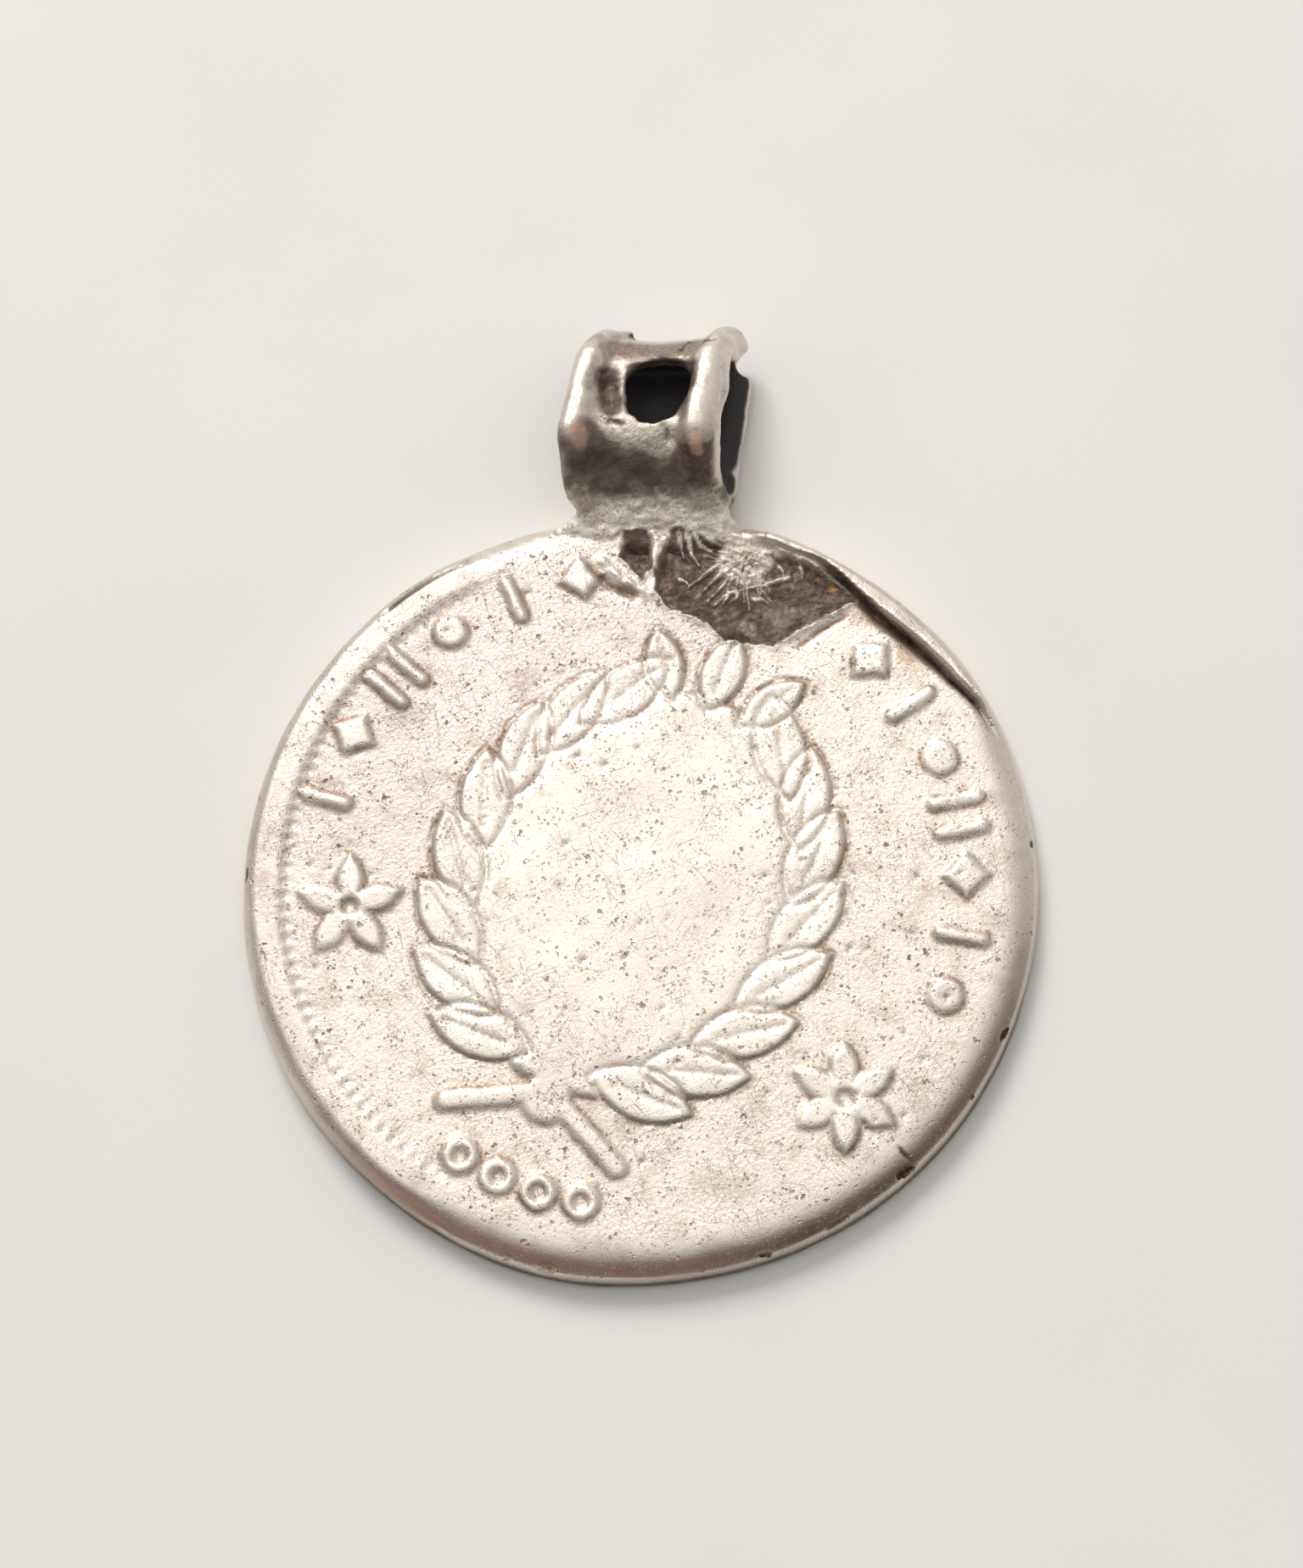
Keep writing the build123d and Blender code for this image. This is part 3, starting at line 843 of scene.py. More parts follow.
def strap_ring(stations, around):
    """The strap as a closed mesh: its section pulled along the loop and joined to itself."""
    bm = bmesh.new()
    points, out = loop_points(stations)
    middle = (RIDGE_X["left"] + RIDGE_X["right"]) / 2
    section = [strap_section(index / around) for index in range(around)]

    def shape(ring, station):
        (y, z), (out_y, out_z) = points[station], out[station]
        for vert, (across, depth) in zip(ring, section):
            here_y, here_z = y + depth * out_y, z + depth * out_z
            vert.co = (skew(middle + across, here_y, here_z), here_y, here_z)

    ring = bmesh.ops.create_circle(bm, segments=around, radius=1.0)["verts"]
    first_edges = bm.edges[:]
    edges = first_edges
    shape(ring, 0)
    for station in range(1, stations):
        made = bmesh.ops.extrude_edge_only(bm, edges=edges)["geom"]
        new = set(made_verts(made))
        ring = [next(edge.other_vert(vert) for edge in vert.link_edges if edge.other_vert(vert) in new)
                for vert in ring]
        edges = made_rim(made)
        shape(ring, station)
    bmesh.ops.bridge_loops(bm, edges=first_edges + edges)
    return temporary(bm, "strap")


def neck_solid(around=48):
    """The solder between the coin and the strap: rounded sections joined in a row."""
    bm = bmesh.new()
    loops = []
    for row in NECK:
        ring = bmesh.ops.create_circle(bm, segments=around, radius=1.0)["verts"]
        loops.append({edge for vert in ring for edge in vert.link_edges})
        for index, vert in enumerate(ring):
            turn = 2 * pi * index / around
            side = abs(cos(turn)) ** 0.6 * (1 if cos(turn) > 0 else -1)
            rise = abs(sin(turn)) ** 0.6 * (1 if sin(turn) > 0 else -1)
            vert.co.x = (row["left"] + row["right"]) / 2 + side * (row["right"] - row["left"]) / 2
            vert.co.y = row["y"]
            vert.co.z = (row["low"] + row["high"]) / 2 + rise * (row["high"] - row["low"]) / 2
    for lower, upper in zip(loops, loops[1:]):
        bmesh.ops.bridge_loops(bm, edges=list(lower | upper))
    bmesh.ops.holes_fill(bm, edges=open_edges(bm), sides=0)
    return temporary(bm, "neck")


def hole_cutter():
    """A block over the torn hole's outline, whose sides are ragged."""
    bm = bmesh.new()
    ring = bmesh.ops.create_circle(bm, cap_ends=True, segments=4 * len(HOLE), radius=1.0)["verts"]
    corners = [Vector((x, y, 0)) for x, y in HOLE]
    for index, vert in enumerate(ring):
        side, share = divmod(index, 4)
        here, ahead = corners[side], corners[(side + 1) % len(corners)]
        before, after = corners[side - 1], corners[(side + 2) % len(corners)]
        t = share / 4
        point = 0.5 * (
            2 * here + (ahead - before) * t + (2 * before - 5 * here + 4 * ahead - after) * t * t
            + (3 * here - before - 3 * ahead + after) * t**3
        )
        point += Vector((noise.noise(point * 2.3), noise.noise(point * 2.3 + Vector((9, 9, 9))), 0)) * 0.13
        vert.co = (point.x, point.y, HOLE_CUT["low"])
    pulled = bmesh.ops.extrude_face_region(bm, geom=bm.faces[:])["geom"]
    high = HOLE_CUT["high"]
    lean = (HOLE_CUT["lean_x"] * high, HOLE_CUT["lean_y"] * high, high)
    bmesh.ops.translate(bm, verts=made_verts(pulled), vec=lean)
    return temporary(bm, "hole_cutter")


def curl(row):
    """A short round-ended roll of metal between two points."""
    bm = bmesh.new()
    start, end = Vector(row["start"]), Vector(row["end"])
    bmesh.ops.create_icosphere(bm, subdivisions=3, radius=row["radius"])
    lean = (end - start).to_track_quat("Z", "Y").to_matrix()
    reach = (end - start).length
    for vert in bm.verts:
        vert.co = start + lean @ (vert.co + Vector((0, 0, reach if vert.co.z > 0 else 0)))
    return temporary(bm, "curl")


def bite_cutter():
    """A short rod that bites a notch into the strap's side."""
    bm = bmesh.new()
    middle = (STRAP_BITE["low"] + STRAP_BITE["high"]) / 2
    bmesh.ops.create_cone(
        bm, cap_ends=True, segments=32, radius1=STRAP_BITE["radius"], radius2=STRAP_BITE["radius"],
        depth=STRAP_BITE["high"] - STRAP_BITE["low"],
        matrix=Matrix.Translation((STRAP_BITE["x"], STRAP_BITE["y"], middle)),
    )
    return temporary(bm, "bite_cutter")


def segment(points, row):
    """Distance of points in space to a row's straight stroke."""
    start, end = np.array(row["start"]), np.array(row["end"])
    share = np.clip((points - start) @ (end - start) / ((end - start) @ (end - start)), 0, 1)
    return np.linalg.norm(points - start - share[:, None] * (end - start), axis=1)


def worn_strap(thing):
    """Knocks, cracks and the hand-made unevenness of the strap, on the remeshed solid."""
    bm = bmesh.new()
    bm.from_mesh(thing.data)
    melt(bm, bm.verts[:], 4)
    bite_x, bite_y = STRAP_BITE["x"], STRAP_BITE["y"]
    melt(bm, [vert for vert in bm.verts if hypot(vert.co.x - bite_x, vert.co.y - bite_y) < 0.8], 14)
    bm.normal_update()
    points = coordinates(bm)
    normals = np.array([vert.normal[:] for vert in bm.verts])
    x, y, z = points.T
    push = 0.035 * grain(x, y, z, 1.3, 2) + 0.012 * grain(x, y, z, 0.35, 2)
    solder = smooth(14.6, 13.6, y + 0.35 * (z - 1.5))
    push += solder * 0.075 * grain(x, y, z + 5.0, 0.30, 3)
    facet = hump(segment(points, FACET), FACET["reach"])
    push += facet * 0.05 * grain(x, y, z, 0.16, 3)
    for row in STRAP_CRACKS:
        rough = 0.8 + 0.5 * grain(x, y, z, 0.2, 2)
        push -= row["deep"] * rough * hump(segment(points, row), row["half_width"])
    moved = points + normals * push[:, None]
    for row in STRAP_DENTS:
        near = hump(np.linalg.norm(points - np.array(row["at"]), axis=1), row["reach"])
        moved += near[:, None] * np.array(row["push"])
    moved[:, 2] = np.maximum(moved[:, 2], 0.03)
    place(bm, moved)
    bm.to_mesh(thing.data)
    bm.free()
    return thing


def bail_solid(strap):
    """Strap and neck as one skin, with the torn hole."""
    ring = strap_ring(strap.stations, strap.around)
    cutters = [hole_cutter(), bite_cutter()]
    for cutter in cutters:
        applied(ring, "BOOLEAN", operation="DIFFERENCE", solver="EXACT", object=cutter)
    neck = neck_solid()
    extra = [neck] + [curl(row) for row in (*STRAP_CURLS, STRAP_FOLD)]
    for piece in extra:
        applied(ring, "BOOLEAN", operation="UNION", solver="EXACT", object=piece)
    applied(ring, "REMESH", mode="VOXEL", voxel_size=millimetres(strap.voxel), use_smooth_shade=True)
    discard(*cutters, *extra)
    return worn_strap(ring)


def soften_joint(bm):
    """Melts the line where the neck meets the coin, and leaves it gritty."""
    def near_joint(point):
        return 11.9 < point.y < 13.9 and abs(point.x - NECK_MIDDLE) < 4.1 and point.z > 0.25

    verts = [vert for vert in bm.verts if near_joint(vert.co)]
    melt(bm, verts, 5)
    bm.normal_update()
    points = np.array([vert.co[:] for vert in verts])
    x, y, z = points.T
    bump = 0.035 * grain(x, y, z, 0.20, 3) * smooth(12.2, 12.6, y) * smooth(14.0, 13.6, y)
    for vert, lift in zip(verts, bump.tolist()):
        vert.co += vert.normal * lift


def strap_masks(points):
    """What is bail, what faces into its loop, whose colour is painted shade, and its stains and painted
    reflections by the name of their mask.
    """
    x, y, z = points.T
    on_bail = smooth(13.2, 13.9, y)
    speckle = grain(x, y, z, 0.30, 3)
    cloud = grain(x, y, z + 9.0, 0.8, 2)
    route, out = loop_points(96)
    gap = points[:, None, 1:] - route[None, :, :]
    nearest = np.argmin((gap**2).sum(axis=2), axis=1)
    outward = (gap[np.arange(len(points)), nearest] * out[nearest]).sum(axis=1)
    # Painted shade: the faces that turn into the loop are painted near black, for the shade inside it.
    inner = smooth(-0.02, -0.16, outward + 0.02 * speckle) * on_bail
    folded = segment(points, STRAP_FOLD)
    inner *= smooth(1.1 * STRAP_FOLD["radius"], 1.5 * STRAP_FOLD["radius"], folded)
    front = smooth(0.9, 1.6, z)
    # Below the knee the strap's front is painted dark: partly scale, partly painted dark reflection of the
    # viewer's side of the room.
    below_knee = smooth(15.95, 14.85, y + 0.15 * speckle + 0.30 * cloud)
    below_knee *= smooth(13.35, 13.85, y + 0.35 * speckle)
    stains_and_painted_light = {name: np.zeros_like(x) for name in ("scale", "bright", "heat")}
    stains_and_painted_light["dull"] = 0.25 * smooth(-0.2, 0.5, cloud)
    for row in STRAP_STAINS_AND_PAINTED_LIGHT:
        distance = segment(points, row) + 0.09 * speckle
        here = row["strong"] * smooth(1.25 * row["reach"], 0.55 * row["reach"], distance)
        stains_and_painted_light[row["mask"]] = np.maximum(stains_and_painted_light[row["mask"]], here)
    knee_scale_and_dark_reflection = below_knee * front * (0.90 - 0.22 * smooth(-0.2, 0.4, cloud)) * (1 - stains_and_painted_light["bright"])
    stains_and_painted_light["scale"] = np.maximum(stains_and_painted_light["scale"], knee_scale_and_dark_reflection)
    grit = smooth(0.16, -0.06, grain(x, y, z + 5.0, 0.26, 3)) * smooth(14.3, 13.8, y)
    grit = 0.35 * smooth(14.3, 13.8, y) * smooth(13.2, 13.6, y) + 0.50 * grit
    grit = grit * (0.08 + 0.92 * smooth(-0.9, -0.1, x))
    stains_and_painted_light["scale"] = np.maximum(stains_and_painted_light["scale"], grit)
    leaned = z - HOLE_CUT["low"]
    lip = polygon(x - HOLE_CUT["lean_x"] * leaned, y - HOLE_CUT["lean_y"] * leaned, HOLE) + 0.06 * speckle
    rim = hump(lip - 0.09, 0.16) * smooth(2.3, 2.8, z) * smooth(-0.9, 0.3, cloud + 0.8 * (y - 16.5))
    stains_and_painted_light["scale"] = np.maximum(stains_and_painted_light["scale"], 0.95 * rim)
    for name in ("scale", "dull", "heat"):
        stains_and_painted_light[name] = stains_and_painted_light[name] * (1 - inner)
    return on_bail, inner, stains_and_painted_light


def paint(mesh, coin):
    """Writes the finish masks, among them painted shade and painted reflections, onto the points of the
    finished mesh, which is still in millimetres.
    """
    count = len(mesh.vertices)
    points, normals = np.empty((count, 3)), np.empty((count, 3))
    mesh.vertices.foreach_get("co", points.ravel())
    mesh.vertices.foreach_get("normal", normals.ravel())
    x, y, z = points.T
    radius, angle = polar(x, y)
    face = smooth(0.2, 0.6, normals[:, 2]) * smooth(0.9, 1.0, z) * smooth(13.6, 13.2, y)
    _, masks = face_height(x, y, coin)
    patches = grain(x, y, 0.0, 1.1, 3)
    coarse = grain(x, y, 21.0, 3.5, 2)

    foot = hump(masks["raised_distance"] - 0.06, 0.085)
    foot *= 0.35 + 0.65 * smooth(-0.25, 0.35, patches + 0.25 * coarse)
    vein = hump(masks["veins"], 0.08) * smooth(-2.0, -0.8, masks["core"]) * smooth(-0.1, 0.4, patches)
    vein *= masks["raised_distance"] < 0.1
    tarnish = np.maximum(foot, 0.8 * vein) + 0.6 * masks["ring_line"]
    for row in PITS:
        near = np.hypot(x - row["x"], y - row["y"])
        tarnish = np.maximum(tarnish, 0.8 * hump(near, 0.8 * row["radius"]))
    tarnish = np.maximum(tarnish, 1.1 * masks["grooves"])
    field_stain = (1 - masks["raised"]) * smooth(0.0, 0.7, patches) * 0.30
    tarnish = np.maximum(tarnish, field_stain)
    # Painted shade: the gap inside the upper right lip is painted dark, for the shadow that the lip's inner
    # wall casts into it.
    wide = hump(angle - LIP["gap_angle"], LIP["gap_spread"])
    line = lip_radius(angle)
    crevice_shade = smooth(line - 0.10 - LIP["gap_width"] * wide, line - 0.08, radius)
    crevice_shade *= smooth(line + 0.10, line + 0.02, radius) * smooth(0.55, 0.75, z)
    crevice_shade *= window(angle, 25.0, 61.0, 3.0)

    # Grey haze, darker toward the upper left and on the left rim: partly tarnish haze, partly painted dull
    # reflection of that side.
    haze = smooth(2.5, 6.5, -x * 0.62 + y * 0.78) * (1 - 0.65 * masks["raised"]) * smooth(13.0, 12.0, radius)
    haze = np.maximum(haze, 0.9 * window(angle, 130.0, 215.0, 15.0) * smooth(12.1, 12.7, radius) * (z > 0.5))
    haze = np.maximum(haze, 0.9 * hump(np.hypot(x + 9.6, y - 0.4), 3.2) * (1 - 0.5 * masks["raised"]))
    haze = haze * (0.75 + 0.5 * coarse)

    grown = 0.97 * smooth(0.015, 0.09, np.maximum(masks["crystals"], masks["heap"]))
    thin = 0.12 * smooth(0.0, 0.5, grain(x, y, 2.0, 0.7, 3))
    pale = np.maximum(grown, 0.92 * masks["pool"])
    pocket_dark = masks["pocket"] * (1 - np.maximum(pale, thin))
    # Painted shade: the thin line at the upper left and the lip's gap get the dark scale colour, beside the
    # real scale in the pockets.
    scale_and_shade = np.maximum(np.maximum(pocket_dark, left_gap(radius, angle)) * face, crevice_shade)
    shaded = window(angle, *SHADED_SIDE)
    # Painted shade: the shoulder's band on the side turned away from the light is painted dark brown, for the
    # dark reflection there.
    shoulder = smooth(12.75, 13.30, radius) * smooth(13.47, 13.40, radius) * (z > 0.5) * shaded
    # Painted shade: the lower wall on the side turned away from the light is painted dark, for the contact
    # shadow and the dark floor it reflects.
    painted_wall_shade = smooth(0.72, 0.42, z) * smooth(13.1, 13.3, radius) * shaded
    # Painted shade: the nicks in the edge are painted dark inside.
    nick_shade = np.zeros_like(x)
    for row in EDGE_NICKS:
        nick_shade = np.maximum(nick_shade, smooth(1.1, 0.6, nick_distance(radius, angle, row)) * (z > 0.2))
    scale_and_shade = np.maximum(scale_and_shade, np.maximum(0.9 * nick_shade, 0.9 * painted_wall_shade) * smooth(13.2, 12.9, y))

    on_bail, inner, stains_and_painted_light = strap_masks(points)
    scale_and_shade = np.maximum(scale_and_shade * (1 - on_bail), stains_and_painted_light["scale"] * on_bail)
    solder = smooth(12.6, 13.0, y) * smooth(14.4, 13.8, y) * smooth(4.2, 3.6, np.abs(x - NECK_MIDDLE))
    under_hole = segment(points, UNDER_HOLE) + 0.15 * grain(x, y, z, 0.4, 2)
    flecks = 0.45 + 0.55 * smooth(-0.06, 0.14, grain(x, y, z, 0.20, 2))
    solder = np.maximum(solder, flecks * smooth(1.0, 0.5, under_hole))
    # Painted reflection: reddish spots on the ridges below the knee, and a reddish tone on the shaded
    # shoulder.
    heat = stains_and_painted_light["heat"] * on_bail + 0.60 * shoulder * window(angle, -135.0, -75.0, 12.0)
    rust = np.zeros_like(x)
    for row in RUST_SPOTS:
        near = np.hypot(x - row["x"], y - row["y"]) + 0.12 * patches
        rust = np.maximum(rust, smooth(row["radius"], row["radius"] * 0.4, near))
    rust_line = window(angle, 38.0, 52.0, 4.0) * smooth(11.6, 12.1, radius) * smooth(12.7, 12.4, radius)
    rust = np.maximum(rust, 0.45 * rust_line)
    rust = rust * face * smooth(-0.3, 0.2, patches)

    layers = {
        "tarnish": np.clip(tarnish, 0, 1) * face * (1 - masks["pocket"]),
        "dull": stains_and_painted_light["dull"] * on_bail,
        "scale": scale_and_shade,
        "inner": inner,
        "haze": haze * face,
        "heat_stain": heat,
        "rust": rust,
        "solder": np.maximum(solder, np.maximum(masks["torn"], pale * masks["pocket"]) * face),
        "raised": masks["raised"] * face,
        "shoulder": shoulder,
        "field": face * (1 - masks["pocket"]) * smooth(12.45, 12.15, radius),
        "face": face,
    }
    for name, values in layers.items():
        layer = mesh.attributes.new(name, "FLOAT", "POINT")
        layer.data.foreach_set("value", np.clip(values, 0, 1).astype(np.float32))


# Shader maths


class Value:
    """A socket of a node tree. Python's operators on it add Math nodes."""

    def __init__(self, tree, socket=None):
        self.tree = tree
        self.socket = socket

    def make(self, kind, settings=None, sockets=None, output=0):
        """Any node: its settings first, then the values or links of its sockets."""
        node = self.tree.nodes.new(kind)
        for name, value in (settings or {}).items():
            if name == "stops":
                for _ in range(len(value) - 2):
                    node.color_ramp.elements.new(0.5)
                for element, (position, colour) in zip(node.color_ramp.elements, value):
                    element.position = position
                    element.color = colour
            else:
                setattr(node, name, value)
        for name, value in (sockets or {}).items():
            if isinstance(value, Value):
                self.tree.links.new(value.socket, node.inputs[name])
            else:
                node.inputs[name].default_value = value
        return Value(self.tree, node.outputs[output])

    def math(self, operation, *others):
        values = dict(enumerate((self, *others)))
        return self.make("ShaderNodeMath", {"operation": operation}, values)

    def __add__(self, other):
        return self.math("ADD", other)

    def __sub__(self, other):
        return self.math("SUBTRACT", other)

    def __rsub__(self, other):
        return self.make("ShaderNodeMath", {"operation": "SUBTRACT"}, {0: other, 1: self})

    def __mul__(self, other):
        return self.math("MULTIPLY", other)

    __radd__ = __add__
    __rmul__ = __mul__

    def most(self, other):
        return self.math("MAXIMUM", other)

    def step(self, low, high):
        """0 below low and 1 above high, with an even S between them."""
        return self.make(
            "ShaderNodeMapRange", {"interpolation_type": "SMOOTHSTEP"},
            {"Value": self, "From Min": low, "From Max": high, "To Min": 0.0, "To Max": 1.0},
        )

    def blend(self, under, over):
        """The colour over laid on the colour under, by this mask."""
        return self.make("ShaderNodeMix", {"data_type": "RGBA"}, {0: self, 6: under, 7: over}, output=2)


def rgba(colour):
    return (*colour, 1.0)


def worn_silver(finish):
    """Silver with pits, hairlines, tarnish, solder grit and dark scale, and painted shade and painted
    reflections, from the mesh's masks.
    """
    material = bpy.data.materials.new("worn_silver")
    material.use_nodes = True
    tree = material.node_tree
    shader = tree.nodes["Principled BSDF"]
    start = Value(tree)

    def mask(name):
        return start.make("ShaderNodeAttribute", {"attribute_name": name}, output=2)

    place_in_mm = start.make("ShaderNodeMapping", {}, {
        "Vector": start.make("ShaderNodeTexCoord", output=3), "Scale": (1000.0, 1000.0, 1000.0)})

    def clouds(size, detail=2.0, rough=0.5, shift=0.0, stretch=(1, 1, 1), turn=0.0):
        where = start.make("ShaderNodeMapping", {"vector_type": "TEXTURE"}, {
            "Vector": place_in_mm, "Location": (shift, shift, shift), "Rotation": (0, 0, radians(turn)),
            "Scale": stretch})
        return start.make("ShaderNodeTexNoise", {}, {
            "Vector": where, "Scale": 1.0 / size, "Detail": detail, "Roughness": rough})

    def dots(size, radius, shift=0.0):
        """Round pits with uneven sides: 1 inside a pit."""
        sway = start.make("ShaderNodeTexNoise", {}, {
            "Vector": place_in_mm, "Scale": 2.2 / size, "Detail": 2.0}, output=1)
        bent = start.make("ShaderNodeVectorMath", {"operation": "MULTIPLY_ADD"}, {
            0: sway, 1: (size * 0.8,) * 3, 2: place_in_mm})
        where = start.make("ShaderNodeMapping", {}, {"Vector": bent, "Location": (shift, shift, shift)})
        cells = start.make("ShaderNodeTexVoronoi", {"feature": "F1"}, {"Vector": where, "Scale": 1.0 / size})
        return cells.step(radius, radius * 0.5)

    def nicks(width, longer, turn, rare, shift, soft=0.05):
        """Short dents and scratches that run one way: 1 inside one."""
        drawn = clouds(width, 1.0, 0.5, shift, (longer, 1.0, 1.0), turn)
        return drawn.step(rare, rare + soft)

    tarnish, scale, inner, haze = mask("tarnish"), mask("scale"), mask("inner"), mask("haze")
    heat, rust, solder, raised = mask("heat_stain"), mask("rust"), mask("solder"), mask("raised")
    shoulder, field, dull, face = mask("shoulder"), mask("field"), mask("dull"), mask("face")
    low = field * (1.0 - raised)

    gritty = clouds(0.13, 3.0, 0.62, 5.0)
    fine = clouds(0.05, 2.0, 0.6, 9.0)
    broad = clouds(1.5, 3.0, 0.55, 1.0)
    patchy = clouds(0.9, 2.0, 0.6, 3.0)

    pits = dots(0.36, 0.26) * patchy.step(0.52, 0.64)
    pits = pits.most(dots(0.17, 0.32, 7.0) * clouds(0.6, 2.0, 0.6, 17.0).step(0.46, 0.62) * 0.7)
    pits = pits * (0.7 + face * 0.3)
    marks = nicks(0.05, 3.4, 25.0, 0.635, 31.0, 0.12)
    for turn, shift in ((-35.0, 43.0), (85.0, 57.0)):
        marks = marks.most(nicks(0.05, 3.0, turn, 0.64, shift, 0.12))
    marks = marks * clouds(0.7, 3.0, 0.6, 23.0).step(0.40, 0.66) * (0.08 + face * 0.92)
    hairlines = nicks(0.03, 70.0, 18.0, 0.70, 11.0)
    for turn, shift in ((58.0, 16.0), (-49.0, 21.0), (104.0, 26.0)):
        hairlines = hairlines.most(nicks(0.03, 60.0, turn, 0.70, shift))
    hairlines = hairlines * clouds(2.2, 1.0, 0.5, 5.0).step(0.45, 0.60)

    silver = broad.step(0.35, 0.68).blend(rgba(finish.silver), rgba(finish.silver_dull))
    silver = (low * (0.30 + broad.step(0.38, 0.62) * 0.5)).blend(silver, rgba(finish.field))
    silver = (gritty.step(0.48, 0.72) * (0.15 + low * 0.35)).blend(silver, rgba(finish.silver_grey))
    silver = haze.blend(silver, rgba(finish.haze))
    dirty = pits.most(marks * 0.60).most(hairlines * 0.55)
    silver = (dirty * (0.42 + low * 0.20 + patchy.step(0.4, 0.6) * 0.20)).blend(silver, rgba(finish.pit))
    silver = (tarnish * (0.45 + gritty * 0.9)).blend(silver, rgba(finish.tarnish))
    # Painted shade: dark brown on the shoulder turned away from the light.
    silver = (shoulder * 0.85).blend(silver, rgba(finish.shoulder))
    # Partly real dullness, partly painted shade that dims the reflection on the strap's ridge tops and
    # flanks.
    silver = (dull * (0.35 + gritty * 1.0)).blend(silver, rgba(finish.dull))
    silver = (solder * (0.3 + gritty.step(0.40, 0.62) * 0.6)).blend(silver, rgba(finish.solder))
    silver = (solder * gritty.step(0.46, 0.36) * 0.35).blend(silver, rgba(finish.pit))
    # The dark scale colour goes on real scale and also on painted shade: the lip's gap, the thin line at the
    # upper left, the edge nicks, the lower wall on the shaded side, and the dark reflection below the knee.
    clouded = clouds(0.45, 4.0, 0.62, 4.0, (1.6, 1.0, 1.0), 8.0).step(0.36, 0.68)
    dark = clouded.blend(rgba(finish.scale), rgba(finish.scale_light))
    silver = scale.blend(silver, dark)
    # Painted reddish reflection.
    silver = (heat * 0.75).blend(silver, rgba(finish.heat))
    silver = (rust * gritty.step(0.30, 0.55)).blend(silver, rgba(finish.rust))
    # Painted shade: near black inside the loop.
    colour = inner.blend(silver, rgba(finish.inner))

    # Scale, rust and tarnish, and also the painted shade and the painted reddish reflection, make the metal
    # less metallic and rougher.
    dirt_and_shade = (scale * 0.8).most(rust).most(tarnish * 0.6).most(inner).most(heat * 0.9)
    metallic = (1.0 - dirt_and_shade * 0.55) * (1.0 - solder * 0.4)
    rough = 0.30 + gritty * 0.16 + fine * 0.10 + low * 0.06 + dirty * 0.15 + dirt_and_shade * 0.10 + solder * 0.15
    height = (
        gritty * (0.010 + low * 0.014) + fine * 0.005 - pits * (0.006 + face * 0.024) - marks * 0.011
        - hairlines * 0.009 + (solder * 1.2 + scale * 0.4) * gritty * 0.025
    )
    bump = start.make("ShaderNodeBump", {}, {"Height": height, "Strength": 1.0, "Distance": MM})
    looks = {"Base Color": colour, "Metallic": metallic, "Roughness": rough, "Normal": bump}
    for name, value in looks.items():
        tree.links.new(value.socket, shader.inputs[name])
    return material


def paper_floor(finish):
    """Plain pale paper with a faint grain."""
    material = bpy.data.materials.new("pale_paper")
    material.use_nodes = True
    tree = material.node_tree
    shader = tree.nodes["Principled BSDF"]
    start = Value(tree)
    where = start.make("ShaderNodeMapping", {}, {
        "Vector": start.make("ShaderNodeTexCoord", output=3), "Scale": (1000.0, 1000.0, 1000.0)})
    cloud = start.make("ShaderNodeTexNoise", {}, {"Vector": where, "Scale": 0.08, "Detail": 3.0})
    grains = start.make("ShaderNodeTexNoise", {}, {"Vector": where, "Scale": 5.0, "Detail": 2.0})
    colour = cloud.step(0.3, 0.7).blend(rgba(finish.floor), rgba([part * 0.975 for part in finish.floor]))
    tree.links.new(colour.socket, shader.inputs["Base Color"])
    bump = start.make("ShaderNodeBump", {}, {"Height": grains * 0.01, "Strength": 0.5, "Distance": MM})
    tree.links.new(bump.socket, shader.inputs["Normal"])
    shader.inputs["Roughness"].default_value = 0.75
    return material


# Settings


def length(name, description, default):
    return FloatProperty(
        name=name, description=description, default=default, subtype="DISTANCE", unit="LENGTH", precision=5)


def colour(name, description, default):
    return FloatVectorProperty(
        name=name, description=description, default=default, subtype="COLOR", min=0, max=1)


class PENDANT_PG_coin(bpy.types.PropertyGroup):
    radius: length("Radius", "Radius of the coin's edge wall", (NODE_HIGH[0] - NODE_LOW[0]) / 2)
    field_height: length("Field height", "Thickness of the coin at its flat field", 0.00145)
    relief_height: length("Relief height", "How far the worn design stands above the field", 0.00017)
    finest_rounds: IntProperty(
        name="Cuts", description="How many times the face is cut finer", default=6, min=1, max=8)


class PENDANT_PG_bail(bpy.types.PropertyGroup):
    stations: IntProperty(name="Stations", description="Sections along the strap's loop", default=132, min=24)
    around: IntProperty(name="Around", description="Points round the strap's section", default=72, min=16)
    voxel: length("Skin size", "Size of the faces of the strap's skin", 0.000082)


